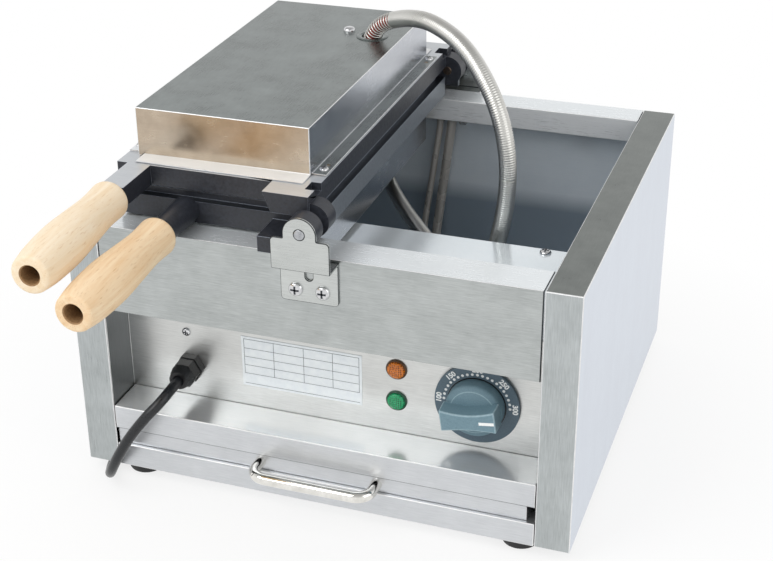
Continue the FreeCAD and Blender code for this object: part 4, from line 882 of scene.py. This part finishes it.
softened("upper_plate", 1.3, [coated, milled, rim_milled], casting_edge_painted_highlight, upper_faces, 3, shortest=5)
softened("lower_plate", 1.3, [coated, milled, rim_milled, casting_side_painted_sheen], casting_edge_painted_highlight, lower_faces, 3,
         shortest=5)
for cover in ("upper_cover", "lower_cover"):
    softened(cover, 1.5, [cover_painted_dark_reflection, cover_front, cover_side, cover_flange_painted_light], fold_painted_highlight, cover_faces, 3,
             shortest=8)
for collar in ("upper_handle_collar", "lower_handle_collar"):
    softened(collar, 0.4, [plated])


# Turned wooden handles
def quarter(centre, radius, start):
    """Points of a quarter round of a profile, about a centre, from an angle in degrees."""
    away, along = centre
    angles = [math.radians(start + 15 * step) for step in range(1, 7)]
    return [(away + radius * math.cos(angle), along + radius * math.sin(angle)) for angle in angles]


def wooden_handle(node, place, rotation, wood):
    """Handle with a rounded shoulder at the collar, a waist, a swell and a bore in its end."""
    foot, length, shoulder, end_round = 2.0, 127.0, 5.0, 2.6
    rod_r, bore_r, bore_depth, bore_edge = 4.2, 7.0, 38.0, 0.8
    neck, waist, swell, end = 15.0, 14.3, 17.1, 14.15
    tip = foot + length
    profile = [(rod_r, foot), (neck - shoulder, foot)]
    profile += quarter((neck - shoulder, foot + shoulder), shoulder, -90)
    body = [(neck, foot + shoulder, 0), (waist, foot + 0.2 * length, 0),
            ((waist + swell) / 2, foot + 0.4 * length, 0), (swell - 0.2, foot + 0.56 * length, 0),
            (swell, foot + 0.68 * length, 0), (swell - 0.95, foot + 0.86 * length, 0),
            (end, tip - end_round, 0)]
    profile += [(point.x, point.y) for point in smooth_line(body, 8)[1:]]
    profile += quarter((end - end_round, tip - end_round), end_round, 0)
    rim = len(profile)
    profile += [(bore_r + bore_edge, tip), (bore_r, tip - bore_edge), (bore_r, tip - bore_depth),
                (rod_r, tip - bore_depth), (rod_r, foot)]
    name = node + "_turned"
    # The bore's faces get the darker wood as painted shade
    mesh = turned_mesh(name, profile, place, rotation, 72, lambda index: 1 if index >= rim else 0)
    piece(name, mesh, frame["nodes"][node]["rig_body"], [wood, bore_painted_shade_wood], node)


arm_reach = 21.0
lean = Quaternion((0, 0, 1), math.radians(3.3))
wooden_handle("upper_handle", mm(-144.0, -arm_reach, 250.5), lean @ towards_front, pale_beech)
wooden_handle("lower_handle", mm(-107.0, -arm_reach, 227.0), towards_front, warm_beech)

# Thermostat dial
dial_x, dial_z = 117.5, 94.0
bezel_front = box_mm("dial_bezel")[0][1]
knob_gap = 0.4


def grip_outline(length, width, dip):
    """Outline of the grip bar: its upper side is hollowed by the dip, its lower side by less."""
    steps = 20
    outline = []
    for sign, hollow in ((1, dip), (-1, dip * 0.45)):
        for step in range(steps + 1):
            share = step / steps * 2 - 1
            outline.append((-share * length / 2 * sign, sign * (width / 2 - hollow * (1 - share * share))))
    return outline


def knob():
    """Knob with a waisted grip bar and a white pointer."""
    base, top = 11.6, 14.0
    place = mm(dial_x, bezel_front - knob_gap, dial_z)
    profile = [(0, 0), (22, 0), (22, 7.4), (21.7, 8.8), (20.9, 9.8), (19.4, 10.6), (17.7, 11.2),
               (17.0, 11.5), (0, base)]
    # Band 6 of the profile, a ring near the rim, gets the painted highlight
    disc = turned_mesh("knob_base", profile, place, towards_front, 96, lambda index: 1 if index == 6 else 0)
    piece("knob_base", disc, "dial", [knob_plastic, knob_painted_highlight])

    spin = Quaternion((0, -1, 0), math.radians(8.0))
    turned = Matrix.Translation(place) @ (spin @ standing.to_quaternion()).to_matrix().to_4x4()
    work = bmesh.new()
    outline = grip_outline(length=43.0, width=18.0, dip=3.4)
    lower = [work.verts.new((u / 1000, v / 1000, (base - 1.0) / 1000)) for u, v in outline]
    upper = [work.verts.new((u * 0.99 / 1000, v * 0.98 / 1000, (base + top) / 1000)) for u, v in outline]
    skin(work, [lower, upper])
    work.faces.new(upper)
    work.faces.new(lower[::-1])
    bmesh.ops.remove_doubles(work, verts=work.verts, dist=1e-6)
    mesh = mesh_from(work, "knob_grip")
    mesh.transform(turned)
    for face in mesh.polygons:
        face.use_smooth = True
    mesh.materials.append(knob_plastic)
    mesh.materials.append(knob_painted_highlight)
    grip = linked("knob_grip", mesh)
    # The grip's rounded edges get the painted highlight
    rounded(grip, 1.1, 3, "ANGLE", angle_limit=math.radians(40), material=1)
    fitted(grip, "dial", "dial_knob")

    dash = bmesh.new()
    bar(dash, (0.0115, 0.0024, 0.0004), (0.0146, -0.0008, (base + top) / 1000))
    mesh = mesh_from(dash, "pointer_dash")
    mesh.transform(turned)
    piece("pointer_dash", mesh, "dial", [white_print])


knob()
softened("dial_bezel", 0.6, [bezel_plastic])
gap_profile = [(21.6, -0.2), (22.9, -0.2), (22.9, 0.1), (21.6, 0.1), (21.6, -0.2)]
gap_place = mm(dial_x, bezel_front, dial_z)
gap_ring = turned_mesh("knob_shadow_gap", gap_profile, gap_place, towards_front, 96)
piece("knob_shadow_gap", gap_ring, "cabinet", [black_plastic])


# Repeated pieces, one small tree for all of them
def repeat_tree():
    """Sets a copy of a shape on every point, turned by the point's own turn."""
    tree = bpy.data.node_groups.new("repeated_pieces", "GeometryNodeTree")
    for name, kind, way in (("Points", "Geometry", "INPUT"), ("Shape", "Object", "INPUT"),
                            ("Finish", "Material", "INPUT"), ("Pieces", "Geometry", "OUTPUT")):
        tree.interface.new_socket(name, in_out=way, socket_type="NodeSocket" + kind)
    given = add(tree, "NodeGroupInput").outputs
    shape = add(tree, "GeometryNodeObjectInfo", {"Object": given["Shape"]})
    turns = add(tree, "GeometryNodeInputNamedAttribute", {"Name": "turn"}, data_type="FLOAT_VECTOR")
    euler = add(tree, "FunctionNodeEulerToRotation", {0: turns.outputs["Attribute"]})
    points = add(tree, "GeometryNodeMeshToPoints", {"Mesh": given["Points"]})
    copies = add(tree, "GeometryNodeInstanceOnPoints",
                 {"Points": points.outputs[0], "Instance": shape.outputs["Geometry"],
                  "Rotation": euler.outputs[0]})
    real = add(tree, "GeometryNodeRealizeInstances", {"Geometry": copies.outputs[0]})
    coloured = add(tree, "GeometryNodeSetMaterial",
                   {"Geometry": real.outputs[0], "Material": given["Finish"]})
    add(tree, "NodeGroupOutput", {"Pieces": coloured.outputs[0]})
    return tree


repeated = repeat_tree()


def repeat(name, shape_mesh, places, body, material, replaced=None):
    """One mesh of equal pieces: places are points with the direction that each one faces."""
    shape = linked(name + "_shape", shape_mesh)
    mesh = bpy.data.meshes.new(name)
    mesh.from_pydata([tuple(point) for point, way in places], [], [])
    turns = mesh.attributes.new("turn", "FLOAT_VECTOR", "POINT")
    for number, (point, way) in enumerate(places):
        turns.data[number].vector = Vector(way).to_track_quat("Z", "Y").to_euler()
    obj = linked(name, mesh)
    modifier = obj.modifiers.new("repeated", "NODES")
    modifier.node_group = repeated
    values = {"Shape": shape, "Finish": material}
    for socket in repeated.interface.items_tree:
        if socket.name in values:
            modifier[socket.identifier] = values[socket.name]
    obj.data = evaluated_mesh(obj)
    bpy.data.objects.remove(shape)
    for face in obj.data.polygons:
        face.use_smooth = True
    obj.data.set_sharp_from_angle(angle=math.radians(40))
    fitted(obj, body, replaced)


def head_mesh(radius, height):
    """Domed screw head on a short shank."""
    shank, shank_length = radius * 0.45, 2.0
    dome = ((1.0, 0.0), (1.0, 0.25), (0.93, 0.55), (0.75, 0.82), (0.4, 0.97), (0, 1.0))
    profile = [(0, -shank_length), (shank, -shank_length), (shank, 0)]
    profile += [(radius * wide, height * tall) for wide, tall in dome]
    return turned_mesh("screw_head", profile, Vector(), upright, 20)


def cross_mesh(radius, height):
    """The cross of a screw's recess: a thin dark bar as painted shade, since the head has no hollow."""
    work = bmesh.new()
    for wide, deep in ((1.15, 0.26), (0.26, 1.15)):
        bar(work, (radius * wide / 1000, radius * deep / 1000, 0.0006), (0, 0, height / 1000 - 0.00024))
    return mesh_from(work, "screw_cross")


def screws(name, places, body, radius, height, node):
    repeat(name + "_heads", head_mesh(radius, height), places, body, bright_screw, node)
    # The crosses are dark bars of painted shade
    repeat(name + "_recesses", cross_mesh(radius, height), places, body, recess_painted_shade)


panel_face, deck_level = 36.0, 176.0
both_sides = (-1, 1)
panel_places = [(mm(-121.8, panel_face, 112.7), front)]
deck_places = [(mm(side * 141.5, 135.0, deck_level), up) for side in both_sides]
screws("panel_screw", panel_places, "cabinet", 3.6, 2.2, "panel_screws")
screws("deck_screw", deck_places, "cabinet", 4.6, 2.6, "panel_screws")

# Bracket screws seat where the solids' heads do
bracket_x, bracket_z, bolt_head = 10.5, 188.0, 2.8
low, high = box_mm("bracket_screws")
bracket_places = [(mm(side * bracket_x, low[1] + bolt_head, bracket_z), front) for side in both_sides]
bracket_places += [(mm(side * bracket_x, high[1] - bolt_head, bracket_z), rear) for side in both_sides]
screws("bracket_screw", bracket_places, "cabinet", 5.6, 3.0, "bracket_screws")

stud = [(mm(-62.0, 256.0, upper_crown), up)]
repeat("cover_stud_head", head_mesh(5.0, 3.6), stud, "upper_half", bright_screw)
cover_screw_x, cover_screw_y, cover_head = (-7.5, -157.5), (52.0, 306.0), 2.2
upper_seat = box_mm("upper_cover_screws")[1][2] - cover_head
lower_seat = box_mm("lower_cover_screws")[0][2] + cover_head
for half, seat, way in (("upper", upper_seat, up), ("lower", lower_seat, down)):
    places = [(mm(x, y, seat), way) for x in cover_screw_x for y in cover_screw_y]
    screws(half + "_cover_screw", places, half + "_half", 3.6, cover_head, half + "_cover_screws")


# Dial print
numeral_r, dot_r = 29.4, 25.6


def on_dial(radius, degrees, lift=0.0):
    """A point on the bezel's face, or lifted off it."""
    angle = math.radians(degrees)
    return mm(dial_x + radius * math.cos(angle), bezel_front - lift, dial_z + radius * math.sin(angle))


def numeral(text, degrees):
    """Raised number whose foot points to the middle of the dial."""
    font = bpy.data.curves.new("numeral", "FONT")
    font.body = text
    font.size = 0.0056
    font.align_x = "CENTER"
    font.align_y = "CENTER"
    font.extrude = 0.0001
    font.offset = 0.00022
    holder = linked("numeral", font)
    mesh = evaluated_mesh(holder)
    bpy.data.objects.remove(holder)
    turn = Matrix.Rotation(math.radians(degrees) - math.pi / 2, 4, "Z")
    mesh.transform(Matrix.Translation(on_dial(numeral_r, degrees, 0.05)) @ standing.to_4x4() @ turn)
    piece("numeral_" + text, mesh, "cabinet", [white_print])


scale_start, dot_step, dot_count = 178.0, 8.8, 21
dot_profile = [(0, -0.3), (1.12, -0.3), (1.12, 0.06), (1.0, 0.12), (0, 0.12)]
dot = turned_mesh("scale_dot", dot_profile, Vector(), upright, 14)
dots = [(on_dial(dot_r, scale_start - dot_step * number), front) for number in range(dot_count)]
repeat("scale_dots", dot, dots, "cabinet", white_print)
for number, degrees in zip(range(50, 301, 50), range(222, 0, -44)):
    numeral(str(number), degrees)


# Pilot lamps with a cross-hatched lens
def lens_mesh(name, reach, count=44):
    """Domed disc, ribbed in two directions, with a skirt and a flat back. Its radius is in millimetres."""
    rib_pitch, rib_depth = 2.0, 0.5
    crown, fall = 4.6, 2.4
    work = bmesh.new()
    grid = {}
    for column in range(count + 1):
        for row in range(count + 1):
            u = (column / count * 2 - 1) * reach
            v = (row / count * 2 - 1) * reach
            # A square grid drawn out to a disc
            longest = max(abs(u), abs(v))
            length = math.hypot(u, v)
            if length > 1e-9:
                u, v = u * longest / length, v * longest / length
            away = math.hypot(u, v) / reach
            waves = math.cos(2 * math.pi * u / rib_pitch) + math.cos(2 * math.pi * v / rib_pitch)
            ribs = rib_depth * (0.25 * waves - 0.5) * (1 - away ** 6)
            height = crown - fall * away ** 4 + ribs
            grid[column, row] = work.verts.new((u / 1000, -height / 1000, v / 1000))
    for column in range(count):
        for row in range(count):
            corners = ((column, row), (column + 1, row), (column + 1, row + 1), (column, row + 1))
            work.faces.new([grid[corner] for corner in corners]).smooth = True
    rim = [edge for edge in work.edges if edge.is_boundary]
    skirt = bmesh.ops.extrude_edge_only(work, edges=rim)
    for vertex in [item for item in skirt["geom"] if isinstance(item, bmesh.types.BMVert)]:
        vertex.co.y = -0.0004
    bmesh.ops.holes_fill(work, edges=[edge for edge in work.edges if edge.is_boundary])
    return mesh_from(work, name)


def pilot_lamp(node, z, lens, ring):
    lamp_x = 53.5
    place = mm(lamp_x, panel_face, z)
    profile = [(6.2, 0), (8.4, 0), (8.4, 1.0), (8.0, 1.5), (7.5, 1.7), (6.9, 1.5), (6.2, 1.2), (6.2, 0)]
    rim = turned_mesh(node + "_ring", profile, place, towards_front, 56)
    piece(node + "_ring", rim, "cabinet", [ring], node)
    mesh = lens_mesh(node + "_lens", reach=7.0)
    mesh.transform(Matrix.Translation(place))
    piece(node + "_lens", mesh, "cabinet", [lens])


pilot_lamp("amber_lamp", 111.0, amber, amber_ring)
pilot_lamp("green_lamp", 83.4, green, green_ring)


# Ruled lines of the bare plate
def plate_ruling():
    margin, stroke, head = 2.0, 0.35, 11.0
    low, high = box_mm("rating_plate")
    wide = high[0] - low[0] - 2 * margin
    rules = [(margin, row, wide, stroke) for row in (margin, head, 18.5, 26.0, 33.5, 41.6)]
    rules += [(column, head, stroke, 30.9) for column in (margin, 27.0, 52.0, 76.0, 97.6)]
    work = bmesh.new()
    for left, bottom, across, tall in rules:
        place = mm(low[0] + left + across / 2, low[1] - 0.03, low[2] + bottom + tall / 2)
        bar(work, (across / 1000, 0.0001, tall / 1000), place)
    mesh = mesh_from(work, "plate_ruling")
    piece("plate_ruling", mesh, "cabinet", [grey_print])


plate_ruling()

# Hidden solids keep their shape and get their finish
hidden = {
    "brushed_stainless": sheet_x, "coated_aluminium": coated, "beech_wood": pale_beech,
    "black_rubber": foot_rubber, "black_plastic": black_plastic, "white_plastic": white_plastic,
    "grey_plastic": grey_plastic, "amber_lens": amber, "green_lens": green, "polished_nickel": nickel,
    "plated_steel": plated, "conduit_steel": plain_tube, "heater_steel": heater_steel, "mineral_wool": wool,
    "brass": brass,
}
for name, slot in slots.items():
    mesh = frame["nodes"][name].data
    mesh.materials.clear()
    mesh.materials.append(hidden[slot])
